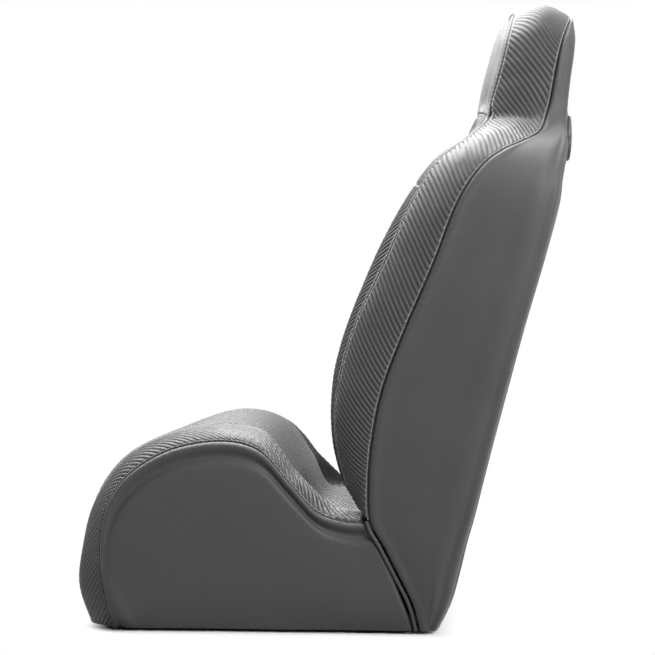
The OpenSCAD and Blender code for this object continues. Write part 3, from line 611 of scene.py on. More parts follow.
def cut_panel(name, lines, stations, columns, mesh_step, spine, zero, crown=0.0,
              depths=None, open_seams=(), shaping=None):
    """The panel between two stations and two lines, as a mesh. Its 'flat' attribute holds the
    distances across from the zero line and along the spine line, as on the cutting table,
    'edge' holds the distance to the nearest seam, and the painted shade is 1 down in a seam."""
    depths = {**SEAM_DEPTH, **(depths or {})}
    fine = np.linspace(*stations, SAMPLES_ALONG)
    spine_run = run_length(on_cover(lines, fine, spine))
    s = np.interp(spaced(spine_run[-1], mesh_step), spine_run, fine)
    sample_v = np.linspace(*columns, SAMPLES_ACROSS)
    widths = run_length(np.swapaxes(on_cover(lines, s[:, None], sample_v[None]), 0, 1))
    width = np.percentile(widths[-1], 80)
    share = np.mean(widths / np.maximum(widths[-1], 1e-6), axis=1)
    v = np.interp(spaced(width, mesh_step) / width, share, sample_v)
    S, V = np.meshgrid(s, v, indexing="ij")
    P = on_cover(lines, S, V)
    out = outward_at(lines, S, V)
    across = np.swapaxes(run_length(np.swapaxes(P, 0, 1)), 0, 1)
    along = run_length(P)
    zero_at = np.interp(zero, v, np.arange(len(v)))
    k = min(int(zero_at), len(v) - 2)
    base = across[:, k] + (across[:, k + 1] - across[:, k]) * (zero_at - k)
    flat_x = across - base[:, None]
    whole = np.linspace(0, lines.shape[1] - 1, SAMPLES_WHOLE)
    whole_run = run_length(on_cover(lines, whole, spine))
    flat_y = np.repeat(np.interp(s, whole, whole_run)[:, None], len(v), axis=1)
    sides = {"low": across, "high": across[:, -1:] - across, "start": along,
             "end": along[-1:] - along}
    shift = np.zeros_like(across)
    edge = np.full_like(across, 1.0)
    for key, d in sides.items():
        if key not in open_seams:
            shift -= depths[key] * np.exp(-((d / SEAM_WIDTH) ** 2))
            edge = np.minimum(edge, d)
    width = np.maximum(across[:, -1:], 1e-6)
    shift += crown * 4 * across * (width - across) / width**2
    if shaping:
        shift += shaping(S, V, P, sides)
    P = P + out * shift[..., None]
    # The turned-in rows and columns round the edge
    P, out, flat_x, flat_y, edge = (
        np.pad(a, [(1, 1), (1, 1)] + [(0, 0)] * (a.ndim - 2), mode="edge")
        for a in (P, out, flat_x, flat_y, edge)
    )
    rim = np.ones(edge.shape, bool)
    rim[1:-1, 1:-1] = False
    P[rim] -= out[rim] * TURNED_IN
    flat_x[:, 0] -= TURNED_IN
    flat_x[:, -1] += TURNED_IN
    flat_y[0] -= TURNED_IN
    flat_y[-1] += TURNED_IN
    edge[rim] = 0
    if "end" in open_seams:
        P, out, flat_x, flat_y, edge = (a[:-1] for a in (P, out, flat_x, flat_y, edge))
    n, m = edge.shape
    index = np.arange(n * m).reshape(n, m)
    quads = np.stack([index[:-1, :-1], index[:-1, 1:], index[1:, 1:], index[1:, :-1]], -1)
    mesh = bpy.data.meshes.new(name)
    mesh.from_pydata(P.reshape(-1, 3), [], quads.reshape(-1, 4))
    flat = np.stack([flat_x, flat_y, np.zeros_like(edge)], -1)
    # Painted shade: it darkens the vinyl's colour down in each seam
    groove = np.exp(-((edge / PAINTED_SHADE_WIDTH) ** 2))
    for key, values, kind in (("flat", flat, "FLOAT_VECTOR"), ("outward", out, "FLOAT_VECTOR"),
                              ("edge", edge, "FLOAT"), ("painted_shade", groove, "FLOAT")):
        layer = mesh.attributes.new(key, kind, "POINT")
        layer.data.foreach_set("value" if kind == "FLOAT" else "vector",
                               np.ascontiguousarray(values, np.float32).ravel())
    mesh.shade_smooth()
    return mesh


def right_hand(mesh, name):
    """The same panel for the occupant's right."""
    copy = mesh.copy()
    copy.name = name
    mirrored = [(copy.vertices, "co")]
    if "outward" in copy.attributes:
        mirrored.append((copy.attributes["outward"].data, "vector"))
    for items, key in mirrored:
        items.foreach_set(key, (values_of(items, key) * MIRROR).ravel())
    copy.flip_normals()
    copy.update()
    return copy


def run_tree(mesh, tree, **values):
    """Runs a Geometry Nodes tree on a mesh with these inputs, and returns the plain result."""
    blank = placed(mesh.name + "_work", mesh)
    modifier = blank.modifiers.new("tree", "NODES")
    modifier.node_group = tree
    sockets = {i.name: i.identifier for i in tree.interface.items_tree if i.in_out == "INPUT"}
    for key, value in values.items():
        modifier[sockets[key.replace("_", " ")]] = getattr(value, "material", value)
    return plain_copy(blank, mesh.name + "_made")


def geometry_tree(name, inputs):
    """An empty Geometry Nodes tree with named inputs besides its geometry."""
    return node_group("GeometryNodeTree", name, {"Geometry": "Geometry", **inputs},
                      {"Geometry": "Geometry"})


def attribute(tree, name, kind="FLOAT_VECTOR"):
    return flow(tree, "GeometryNodeInputNamedAttribute", {"Name": name}, data_type=kind)


def made_of(geometry, material, **selection):
    """The geometry, or a selection of it, with this material."""
    return flow(geometry.tree, "GeometryNodeSetMaterial",
                {"Geometry": geometry, "Material": material, **selection})


# ---- Vinyls of the cover
# All of the cover is coated marine vinyl in black to charcoal, with a fine leather grain. It is
# smooth on the sides, corded on the bolsters and pierced with air holes where one sits.
vinyl_grain, given, result = node_group(
    "ShaderNodeTree", "vinyl_grain",
    {"Place": "Vector", "Grain Scale": 950.0, "Crease Scale": 260.0},
    {"Height": "Float", "Pits": "Float"})
pebbles = flow(vinyl_grain, "ShaderNodeTexVoronoi",
               {"Vector": given["Place"], "Scale": given["Grain Scale"]}, "Distance",
               feature="SMOOTH_F1")
pits = smooth_step(pebbles, 0.35, 0.62)
connect(pits, result["Pits"])
connect(noise(given["Place"], given["Crease Scale"], 4.0, 0.6) * 0.6 - pits, result["Height"])


def vinyl(name, colour, rubbed, pit_and_shade_grey, roughness):
    """A vinyl with its plain colour, its grey where it is rubbed, and its dark grey in its pits
    and as painted shade down in the seams and between its cords."""
    made = Finish(name, roughness, sheen=0.06)
    patches, scuffs = made.handled(roughness, 0.06, Patch_Scale=13.0, Scuff_Scale=240.0,
                                   Scuffing=0.5)
    shade = smooth_step(patches, 0.3, 0.7)
    face = blend_colour(shade, tuple(c * 0.86 for c in colour), colour)
    grain = from_group(vinyl_grain, made.place)
    tree = made.place.tree
    # Painted shade down in the seams and between the cords, mixed with the grain's pits
    painted_shade = flow(tree, "ShaderNodeAttribute", pick="Fac", attribute_name="painted_shade")
    hollow = maths(tree, "MAXIMUM", painted_shade, grain["Pits"] * 0.2)
    made.paint(hollow, blend_colour(scuffs, face, (rubbed,) * 3), (pit_and_shade_grey,) * 3)
    made.bump(grain["Height"], 0.00016, 0.7)
    return made


smooth_vinyl = vinyl("smooth_vinyl", (0.062, 0.063, 0.062), 0.11, 0.014, 0.54)
corded_vinyl = vinyl("corded_vinyl", (0.055, 0.055, 0.053), 0.1, 0.012, 0.5)
pierced_vinyl = vinyl("pierced_vinyl", (0.08, 0.082, 0.08), 0.14, 0.045, 0.54)
trim_vinyl = vinyl("trim_vinyl", (0.05, 0.05, 0.05), 0.12, 0.02, 0.38)
# Near black for the bores of the air holes and for the needle holes: painted shade inside them
painted_hole_shade = Finish("painted_hole_shade", 0.95)
painted_hole_shade.paint(noise(painted_hole_shade.place, 1800.0, 2.0), (0.006,) * 3, (0.02,) * 3)

# ---- Cords of the ribbed vinyl
# The bolster vinyl is stitched over soft cords that run across it at 45 degrees. The tree raises
# them from the panel, and lets them run out just before each seam.
cord_ribs, given, result = geometry_tree(
    "cord_ribs", {"Pitch": 9.1 * MM, "Height": 1.5 * MM, "Slant": 1.0, "Run Out": 5.0 * MM,
                  "Vinyl": "Material"})
x, y, _ = axes_of(attribute(cord_ribs, "flat"))
lean = maths(cord_ribs, "ABSOLUTE", x) * given["Slant"]
turn = maths(cord_ribs, "FRACT", (y + lean) / given["Pitch"])
arch = (turn * (1.0 - turn) * 4.0) ** 0.8
plump = flow(cord_ribs, "ShaderNodeTexNoise", {"Scale": 28.0, "Detail": 1.0}) * 0.5 + 0.75
free = smooth_step(attribute(cord_ribs, "edge", "FLOAT"), 1.0 * MM, given["Run Out"])
height = (arch * plump - 0.55) * free * given["Height"]
lift = vector_maths("SCALE", {0: attribute(cord_ribs, "outward"), "Scale": height})
raised = flow(cord_ribs, "GeometryNodeSetPosition",
              {"Geometry": given["Geometry"], "Offset": lift})
# Painted shade between the cords, added to the painted shade down in the seams
painted_shade = maths(cord_ribs, "MAXIMUM", ((1.0 - arch) * free) ** 1.1,
               attribute(cord_ribs, "painted_shade", "FLOAT"))
kept = flow(cord_ribs, "GeometryNodeStoreNamedAttribute",
            {"Geometry": raised, "Name": "painted_shade", "Value": painted_shade})
solid = flow(cord_ribs, "GeometryNodeRealizeInstances", {0: kept})
connect(made_of(solid, given["Vinyl"]), result["Geometry"])

# ---- Air holes of the perforated vinyl
# Rows of needle-punched holes, each row set off by half a hole. The tree lays six-sided cells
# with a hole in each on the cutting table, and then lays the sheet on the panel.
HOLE_PITCH = 7.0 * MM
COLUMN_SHARE = math.sqrt(3) / 2
air_holes, given, result = geometry_tree(
    "air_holes",
    {"Pitch": HOLE_PITCH, "Hole": 3.2 * MM, "Depth": 1.5 * MM, "Columns": 10, "Rows": 10,
     "Start Across": 0.0, "Start Along": 0.0, "Vinyl": "Material", "Lining": "Material"})
pitch, rows, panel = given["Pitch"], given["Rows"], given["Geometry"]
radius = pitch / math.sqrt(3)
cell = flow(air_holes, "GeometryNodeMeshCircle", {"Vertices": 6, "Radius": radius},
            fill_type="NGON")
ring = node(air_holes, "GeometryNodeExtrudeMesh",
            {"Mesh": made_of(cell, given["Vinyl"]), "Offset": (0, 0, 1), "Offset Scale": 0.0}
            ).outputs
narrowed = flow(air_holes, "GeometryNodeScaleElements",
                {"Geometry": ring["Mesh"], "Selection": ring["Top"],
                 "Scale": given["Hole"] * 0.5 / radius})
bored = node(air_holes, "GeometryNodeExtrudeMesh",
             {"Mesh": narrowed, "Selection": ring["Top"], "Offset": (0, 0, 1),
              "Offset Scale": given["Depth"] * -1.0}).outputs
inside = flow(air_holes, "FunctionNodeBooleanMath", {0: bored["Top"], 1: bored["Side"]},
              operation="OR")
# The bore of each hole is painted near black, as painted shade
shade_painted_cell = made_of(Flow(air_holes, bored["Mesh"]), given["Lining"], Selection=inside)
index = flow(air_holes, "GeometryNodeInputIndex")
column = maths(air_holes, "FLOOR", index / rows)
odd = maths(air_holes, "MODULO", column, 2.0) * 0.5
spot = flow(air_holes, "ShaderNodeCombineXYZ",
            {0: column * pitch * COLUMN_SHARE + given["Start Across"],
             1: (index - column * rows + odd) * pitch + given["Start Along"]})
spots = flow(air_holes, "GeometryNodePoints",
             {"Count": rows * given["Columns"], "Position": spot})
position = flow(air_holes, "GeometryNodeInputPosition")


def on_table(value):
    """A value of the panel at a place on the cutting table, and whether the panel is there."""
    found = node(air_holes, "GeometryNodeSampleUVSurface",
                 {0: panel, 1: value, 2: attribute(air_holes, "flat"), 3: position},
                 data_type="FLOAT_VECTOR").outputs
    return Flow(air_holes, found["Value"]), Flow(air_holes, found["Is Valid"])


surface, on_panel = on_table(position)
outward, _ = on_table(attribute(air_holes, "outward"))
cells = flow(air_holes, "GeometryNodeInstanceOnPoints",
             {"Points": spots, "Selection": on_panel, "Instance": shade_painted_cell})
sheet = flow(air_holes, "GeometryNodeRealizeInstances", {0: cells})
welded = flow(air_holes, "GeometryNodeMergeByDistance",
              {"Geometry": sheet, "Distance": 0.1 * MM})
off_panel = flow(air_holes, "FunctionNodeBooleanMath", {0: on_panel}, operation="NOT")
trimmed = flow(air_holes, "GeometryNodeDeleteGeometry",
               {"Geometry": welded, "Selection": off_panel}, domain="POINT")
down = vector_maths("SCALE", {0: outward, "Scale": axes_of(position)[2]})
stretched = flow(air_holes, "GeometryNodeSetPosition",
                 {"Geometry": trimmed, "Position": vector_maths("ADD", {0: surface, 1: down})})
connect(flow(air_holes, "GeometryNodeSetShadeSmooth", {"Geometry": stretched}),
        result["Geometry"])

# ---- Cushion cover
# The middle is perforated vinyl from the front edge into the crease. A corded strip runs along
# each side over the bolster, and a smooth panel hangs from it to the hem. The front is smooth.
STEP_CORDED = 1.25 * MM
STEP_SMOOTH = 3.2 * MM
STEP_PIERCED = 2.6 * MM
WAVES, WAVE_SUM = 7, 4.2


def slow_waves(place, size, seed):
    """A smooth uneven height from -1 to 1, as foam has under a cover."""
    spin = np.random.default_rng(seed)
    total = 0
    for _ in range(WAVES):
        way = spin.normal(size=3)
        way /= np.linalg.norm(way)
        total = total + np.sin(place @ way * math.tau / (size * spin.uniform(0.7, 1.5))
                               + spin.uniform(0, math.tau))
    return total / WAVE_SUM


def puckers(along, d, pitch=12 * MM, depth=0.35 * MM, reach=9 * MM):
    """Small tucks that the thread draws along a seam at distance d."""
    return depth * np.sin(along * math.tau / pitch + 1.7 * np.sin(along * 31)) * np.exp(-d / reach)


def cushion_side(S, V, P, sides):
    """A roll just under the seam with a hollow below it, puckers, and slack above the hem."""
    d = sides["low"]
    roll = 3.6 * MM * np.exp(-(((d - 9 * MM) / (6.5 * MM)) ** 2))
    hollow = -5.5 * MM * np.exp(-(((d - 24 * MM) / (8.5 * MM)) ** 2))
    arch = 0.15 + 0.85 * ease(S, 2.0, 4.0)
    return ((roll + hollow) * arch + puckers(sides["start"], d) + 0.9 * MM * slow_waves(P, 0.16, 5)
            * ease(d, 0, 0.05))


def cushion_strip(S, V, P, sides):
    """The strip swells between its seams and gathers where it drops behind the bolster."""
    gather = ease(S, 6.6, 7.4) * (1 - ease(S, 9.6, 10.4))
    folds = np.cos(sides["start"] * math.tau / (10.6 * MM) + sides["low"] * 300)
    return gather * 0.2 * MM * folds * ease(sides["low"], 2 * MM, 12 * MM) \
        + 0.6 * MM * slow_waves(P, 0.09, 8)


def cushion_middle(S, V, P, sides):
    """Slow dents of the sprung middle, and three tucks where it drops into the crease."""
    tucks = ease(S, 8.3, 9.6) * 1.6 * MM * np.cos(V * 9.0 + 0.6 * np.sin(S * 2.2))
    return tucks + 1.0 * MM * slow_waves(P, 0.2, 3)


def front_skirt(S, V, P, sides):
    """Almost flat, with slow waves, and puckers where it joins the middle."""
    return 0.6 * MM * slow_waves(P, 0.15, 12) + puckers(sides["low"], sides["end"])


def pierce(mesh, name):
    """The panel made of perforated vinyl."""
    flat = values_of(mesh.attributes["flat"].data, "vector")
    low, high = flat.min(0), flat.max(0)
    made = run_tree(
        mesh, air_holes, Columns=int((high[0] - low[0]) / (HOLE_PITCH * COLUMN_SHARE)) + 2,
        Rows=int((high[1] - low[1]) / HOLE_PITCH) + 2, Start_Across=float(low[0]),
        Start_Along=float(low[1]), Vinyl=pierced_vinyl, Lining=painted_hole_shade)
    made.name = name
    return made


def finished_panel(node_name, mesh, slot, *finishes):
    """Links a sewn panel in place of its CAD node."""
    return add_piece(node_name + "_cover", mesh, slot, *finishes, stands_for=node_name)


def both_hands(node_name, mesh, slot, *finishes):
    """Links a panel of the left and the same for the right, and returns the left one."""
    left = finished_panel(node_name + "_left", mesh, slot, *finishes)
    finished_panel(node_name + "_right", right_hand(mesh, node_name + "_right"), slot, *finishes)
    return left


def sewn_panel(node_name, link, lines, stations, columns, step, spine=0, zero=0, cords=None,
               **cut):
    """Cuts a panel, makes it of the vinyl that its step is for, and links it."""
    mesh = cut_panel(node_name, lines, stations, columns, step, spine, zero, **cut)
    if step == STEP_PIERCED:
        return link(node_name, pierce(mesh, node_name + "_pierced"), "perforated_vinyl")
    if step == STEP_CORDED:
        mesh = run_tree(mesh, cord_ribs, Vinyl=corded_vinyl, **cords)
        return link(node_name, mesh, "ribbed_vinyl")
    return link(node_name, mesh, "smooth_vinyl", smooth_vinyl)


sewn_panel("seat_front_panel", finished_panel, seat_lines, (0, FRONT_TOP),
           (-SEAT_INNER, SEAT_INNER), STEP_SMOOTH, crown=0.6 * MM, open_seams=("start",),
           shaping=front_skirt)
sewn_panel("seat_center_panel", finished_panel, seat_lines, (FRONT_TOP, SEAT_END),
           (-SEAT_INNER, SEAT_INNER), STEP_PIERCED, crown=1.0 * MM, shaping=cushion_middle)
seat_strip = sewn_panel("seat_strip", both_hands, seat_lines, (0, SEAT_END),
                        (SEAT_INNER, SEAT_SIDE), STEP_CORDED, SEAT_RIDGE, SEAT_SIDE,
                        {"Slant": 1.0, "Height": 2.2 * MM}, depths={"high": SIDE_DEPTH},
                        open_seams=("start",), shaping=cushion_strip)
sewn_panel("seat_side", both_hands, seat_lines, (0, SEAT_END), (SEAT_SIDE, SEAT_HEM),
           STEP_SMOOTH, SEAT_HANG, SEAT_SIDE, depths={"low": SIDE_DEPTH},
           open_seams=("start", "high"), shaping=cushion_side)

# ---- Backrest and headrest cover
# The perforated middle lies between two inner strips. A ridge seam with two rows of thread runs
# from the joint over the shoulder to the top, and the boxing strip lies outside it. The yoke
# with the two harness openings, the headrest front, the sides and the rear close the cover.
RIDGE_DEPTH, FOOT_DEPTH = 0.8 * MM, 1.0 * MM
RIDGE_BOTH = {"low": RIDGE_DEPTH, "high": RIDGE_DEPTH, "start": FOOT_DEPTH}
NEARLY_TOP = BACK_TOP - 0.03


def boxing(S, V, P, sides):
    """A crease across the neck, where the strip turns up to the headrest."""
    neck = -5.5 * MM * np.exp(-(((S - 14.55) / 0.33) ** 2)) * ease(sides["high"], 0, 30 * MM)
    swell = 1.6 * MM * np.exp(-(((S - 15.4) / 0.5) ** 2))
    return neck + swell + 0.7 * MM * slow_waves(P, 0.13, 21)


def back_side(S, V, P, sides):
    """Slack and slow waves between the seams, and a crease at the neck."""
    d = np.minimum(sides["low"], sides["high"])
    neck = -4.0 * MM * np.exp(-(((S - 14.3) / 0.4) ** 2)) * ease(d, 0, 20 * MM)
    roll = 1.3 * MM * np.exp(-(((sides["low"] - 9 * MM) / (6 * MM)) ** 2))
    return (neck + roll + puckers(sides["start"], d)
            + 1.2 * MM * slow_waves(P, 0.2, 31) * ease(d, 0, 0.04))


def inner_strip(S, V, P, sides):
    """Slow waves, and half a millimetre lower than its seam line."""
    return 0.5 * MM * slow_waves(P, 0.12, 41) - 0.5 * MM


def middle_back(S, V, P, sides):
    """Slow dents of the sprung middle."""
    return 1.2 * MM * slow_waves(P, 0.2, 51)


def yoke_shape(S, V, P, sides):
    """A crease where it turns up to the headrest, and slow waves."""
    return -2.0 * MM * np.exp(-(((S - 14.3) / 0.25) ** 2)) + 0.8 * MM * slow_waves(P, 0.12, 61)


def rear_shape(S, V, P, sides):
    """Pulled flat by its seams, with soft drag lines below the openings."""
    return 1.3 * MM * slow_waves(P, 0.22, 71) + puckers(sides["start"], sides["low"]) \
        + puckers(sides["start"], sides["high"])


sewn_panel("back_center_panel", finished_panel, back_lines, (BACK_FOOT, YOKE_FOOT),
           (-BACK_INNER, BACK_INNER), STEP_PIERCED, crown=1.0 * MM, shaping=middle_back)
inner_cover = sewn_panel("back_inner_strip", both_hands, back_lines, (BACK_FOOT, YOKE_FOOT),
                         (BACK_INNER, BACK_RIDGE), STEP_CORDED, BACK_RIDGE, BACK_RIDGE,
                         {"Slant": 1.0, "Height": 2.3 * MM}, shaping=inner_strip,
                         depths={"high": RIDGE_DEPTH, "end": FOOT_DEPTH})
boxing_cover = sewn_panel("boxing_strip", both_hands, back_lines, (BACK_FOOT, BACK_TOP),
                          (BACK_RIDGE, BACK_SIDE), STEP_CORDED, BACK_RIDGE, BACK_RIDGE,
                          {"Slant": 1.0, "Height": 2.5 * MM, "Run_Out": 3.0 * MM},
                          depths={"low": RIDGE_DEPTH, "high": SIDE_DEPTH},
                          open_seams=("end",), shaping=boxing)
sewn_panel("back_side", both_hands, back_lines, (0, BACK_TOP), (BACK_SIDE, BACK_REAR),
           STEP_SMOOTH, BACK_SIDE, BACK_SIDE, depths={"low": SIDE_DEPTH},
           open_seams=("start", "end"), shaping=back_side)
head = cut_panel("headrest", back_lines, (HEADREST_FOOT, NEARLY_TOP), (-BACK_RIDGE, BACK_RIDGE),
                 1.6 * MM, 0, 0, crown=0.6 * MM, open_seams=("end",), depths=RIDGE_BOTH)
finished_panel("headrest_front_panel", head, "smooth_vinyl", smooth_vinyl)
yoke = cut_panel("yoke", back_lines, (YOKE_FOOT, HEADREST_FOOT), (-BACK_RIDGE, BACK_RIDGE),
                 STEP_CORDED, BACK_RIDGE, 0, shaping=yoke_shape,
                 depths={**RIDGE_BOTH, "end": FOOT_DEPTH})
rear = cut_panel("rear", back_lines, (0, NEARLY_TOP), (BACK_REAR, 2 * BACK_MID - BACK_REAR),
                 STEP_SMOOTH, BACK_MID, BACK_MID, open_seams=("start", "end"), shaping=rear_shape)

# ---- Harness openings
# Two slots for the shoulder belts run through the back. Each has a vinyl sleeve between the yoke
# and the rear panel, and a padded hem sewn round both of its ends.
SLOT_REACH = 29 * MM
SLOT_RADIUS = 13 * MM
HEM_RADIUS, HEM_RISE = 4.8 * MM, 2.0 * MM
HEM_OUT, SLEEVE_OUT, STITCH_OUT = 4.5 * MM, 3.2 * MM, 12 * MM
OUTLINE_POINTS, OUTLINE_ROUNDS = 72, 6
# Where the search for a panel starts, along the slot from its middle
AHEAD, BEHIND = -0.12, 0.35
slot_rise = math.atan2(36, 173)
slot_fall = math.radians(30)
slot_middle = np.array([112, 279, 703]) * MM
slot_axis = np.array([0, math.cos(slot_rise), math.sin(slot_rise)])
slot_long = np.array([math.cos(slot_fall), math.sin(slot_fall) * math.sin(slot_rise),
                      -math.sin(slot_fall) * math.cos(slot_rise)])
slot_short = np.cross(slot_axis, slot_long)


def slot_distance(points):
    """How far points lie outside the slot's middle line, seen along the slot."""
    local = points - slot_middle
    along = np.clip(local @ slot_long, -SLOT_REACH, SLOT_REACH)
    return np.hypot(local @ slot_long - along, local @ slot_short)


def open_slots(mesh, clearance=1.5 * MM, calm=6 * MM):
    """Cuts both slots out of a panel, and lets its cords run out before the hem."""
    points = values_of(mesh.vertices, "co")
    points[:, 0] = np.abs(points[:, 0])
    away = slot_distance(points)
    layer = mesh.attributes["edge"].data
    edge = np.minimum(values_of(layer, "value", 1)[:, 0],
                      np.maximum(away - SLOT_RADIUS - calm, 0))
    layer.foreach_set("value", edge.astype(np.float32))
    cut = bmesh.new()
    cut.from_mesh(mesh)
    cut.verts.ensure_lookup_table()
    gone = [v for v in cut.verts if away[v.index] < SLOT_RADIUS + clearance]
    bmesh.ops.delete(cut, geom=gone, context="VERTS")
    cut.to_mesh(mesh)
    cut.free()


def surface_of(*meshes):
    """A search tree for the nearest point or the first hit on these meshes."""
    points, faces = [], []
    for mesh in meshes:
        start = len(points)
        points += [v.co.copy() for v in mesh.vertices]
        faces += [[start + i for i in p.vertices] for p in mesh.polygons]
    return BVHTree.FromPolygons(points, faces)


def slot_outline(radius):
    """Points round the slot at a radius from its middle line, in slot coordinates."""
    straight, arc = 2 * SLOT_REACH, math.pi * radius
    spots = []
    for t in np.arange(OUTLINE_POINTS) / OUTLINE_POINTS * 2 * (straight + arc):
        side = 1 if t < straight + arc else -1
        t = t if side > 0 else t - straight - arc
        if t < straight:
            spots.append((side * (t - SLOT_REACH), -side * radius))
        else:
            a = (t - straight) / radius - side * math.pi / 2
            spots.append((side * SLOT_REACH + radius * math.cos(a), radius * math.sin(a)))
    return spots


def laid_round_slot(radius, surface, start, way):
    """The outline at this radius, laid on a surface that is met from start along way."""
    points, outs = [], []
    for a, b in slot_outline(radius):
        origin = slot_middle + slot_long * a + slot_short * b + slot_axis * start
        hit, normal, _, _ = surface.ray_cast(Vector(origin), Vector(slot_axis * way))
        if hit is None:
            hit = Vector(points[-1] if points else origin)
            normal = -Vector(slot_axis * way)
        if normal.dot(Vector(slot_axis)) * way > 0:
            normal = -normal
        points.append(np.array(hit))
        outs.append(np.array(normal))
    points, outs = np.array(points), np.array(outs)
    for _ in range(OUTLINE_ROUNDS):
        points = (np.roll(points, 1, 0) + 2 * points + np.roll(points, -1, 0)) / 4
        outs = (np.roll(outs, 1, 0) + outs + np.roll(outs, -1, 0)) / 3
    return points, outs / np.linalg.norm(outs, axis=1, keepdims=True)


def tube_round(name, path, outs, sides=14, flat=0.8):
    """A closed padded tube along a ring of points, a little flattened on its panel."""
    n = len(path)
    tangent = np.roll(path, -1, 0) - np.roll(path, 1, 0)
    tangent /= np.linalg.norm(tangent, axis=1, keepdims=True)
    level = np.cross(tangent, outs)
    level /= np.linalg.norm(level, axis=1, keepdims=True)
    turn = np.linspace(0, math.tau, sides, endpoint=False)
    pleat = 1 + 0.035 * np.sin(np.arange(n) * 2.4)[:, None]
    rings = path[:, None] + HEM_RADIUS * pleat[..., None] * (
        np.cos(turn)[None, :, None] * level[:, None]
        + flat * np.sin(turn)[None, :, None] * outs[:, None])
    index = np.arange(n * sides).reshape(n, sides)
    quads = np.stack([index, np.roll(index, -1, 1), np.roll(np.roll(index, -1, 1), -1, 0),
                      np.roll(index, -1, 0)], -1).reshape(-1, 4)
    mesh = bpy.data.meshes.new(name)
    mesh.from_pydata(rings.reshape(-1, 3), [], quads)
    return mesh


def joined(name, meshes):
    """One mesh out of several, with its faces outwards."""
    whole = bmesh.new()
    for mesh in meshes:
        whole.from_mesh(mesh)
    bmesh.ops.recalc_face_normals(whole, faces=whole.faces)
    mesh = mesh_from(name, whole)
    mesh.shade_smooth()
    return mesh


front_search, rear_search = (surface_of(yoke), AHEAD, 1), (surface_of(rear), BEHIND, -1)
hem_rings = [("front", laid_round_slot(SLOT_RADIUS + HEM_OUT, *front_search)),
             ("rear", laid_round_slot(SLOT_RADIUS + HEM_OUT, *rear_search))]
open_slots(yoke)
open_slots(rear)
yoke = run_tree(yoke, cord_ribs, Slant=-1.0, Height=2.0 * MM, Vinyl=corded_vinyl)
finished_panel("shoulder_yoke", yoke, "ribbed_vinyl")
finished_panel("back_rear_panel", rear, "smooth_vinyl", smooth_vinyl)
for end, (ring, outs) in hem_rings:
    left = tube_round(f"hem_{end}", ring + outs * HEM_RISE, outs)
    hems = joined(f"harness_hems_{end}", [left, right_hand(left, "hem_right")])
    finished_panel(f"harness_rims_{end}", hems, "trim_vinyl", trim_vinyl)

# The sleeve runs from hem to hem, and slackens a little between them
inner_front, _ = laid_round_slot(SLOT_RADIUS + SLEEVE_OUT, *front_search)
inner_rear, _ = laid_round_slot(SLOT_RADIUS + SLEEVE_OUT, *rear_search)
levels = np.linspace(0, 1, 13)[:, None, None]
walls = inner_front[None] * (1 - levels) + inner_rear[None] * levels
centre = walls.mean(axis=1, keepdims=True)
narrow = 1 - 0.10 * np.sin(np.pi * levels) + 0.012 * np.sin(levels * 19) * np.sin(np.pi * levels)
walls = centre + (walls - centre) * narrow
rings, spots = walls.shape[:2]
index = np.arange(rings * spots).reshape(rings, spots)
quads = np.stack([index[:-1], index[1:], np.roll(index[1:], -1, 1), np.roll(index[:-1], -1, 1)],
                 -1).reshape(-1, 4)
for hand, sign in (("left", 1), ("right", -1)):
    shell = bmesh.new()
    for x, y, z in walls.reshape(-1, 3):
        shell.verts.new((sign * x, y, z))
    shell.verts.ensure_lookup_table()
    for quad in quads:
        shell.faces.new([shell.verts[i] for i in quad])
    bmesh.ops.recalc_face_normals(shell, faces=shell.faces)
    bmesh.ops.solidify(shell, geom=shell.faces[:], thickness=1.2 * MM)
    mesh = mesh_from(f"sleeve_{hand}", shell)
    mesh.shade_smooth()
    finished_panel(f"harness_sleeve_{hand}", mesh, "trim_vinyl", trim_vinyl)

# ---- Topstitching
# Heavy bonded thread, sewn along the seams of the cover. Each stitch is a short bead of thread
# that sinks at both ends into its needle holes, which are flat dark beads of painted shade, and
# the vinyl puckers round it.
thread = Finish("stitching_thread", 0.55, sheen=0.3)
twist = flow(thread.place.tree, "ShaderNodeTexWave",
             {"Vector": thread.place, "Scale": 900.0, "Distortion": 1.0}, "Fac",
             bands_direction="DIAGONAL")
thread.paint(twist, (0.2, 0.2, 0.205), (0.36, 0.36, 0.37))
thread.bump(twist, 0.0002, 0.6)

stitch_row, given, result = geometry_tree(
    "stitch_row", {"Pitch": 6.6 * MM, "Length": 4.4 * MM, "Thickness": 1.0 * MM,
                   "Hole Size": 1.5 * MM, "Thread": "Material", "Needle Hole": "Material"})


def even_curve(tree, geometry, step):
    """The lines of a mesh as curves with even steps."""
    line = flow(tree, "GeometryNodeMeshToCurve", {"Mesh": geometry})
    return flow(tree, "GeometryNodeResampleCurve", {"Curve": line, "Length": step},
                mode="LENGTH")


def made_bead(size, material, place=(0, 0, 0)):
    """A bead of this size and material."""
    bead = flow(stitch_row, "GeometryNodeMeshUVSphere",
                {"Segments": 8, "Rings": 6, "Radius": 1.0})
    size = flow(stitch_row, "ShaderNodeCombineXYZ", dict(enumerate(size)))
    return made_of(flow(stitch_row, "GeometryNodeTransform",
                        {"Geometry": bead, "Translation": place, "Scale": size}), material)


even = even_curve(stitch_row, given["Geometry"], given["Pitch"])
upright = flow(stitch_row, "FunctionNodeAlignRotationToVector",
               {"Vector": attribute(stitch_row, "outward")}, axis="Z")
turned = flow(stitch_row, "FunctionNodeAlignRotationToVector",
              {"Rotation": upright, "Vector": flow(stitch_row, "GeometryNodeInputTangent")},
              axis="X", pivot_axis="Z")
thick, wide = given["Thickness"], given["Hole Size"]
stitch = made_bead((given["Length"] * 0.5, thick, thick), given["Thread"])
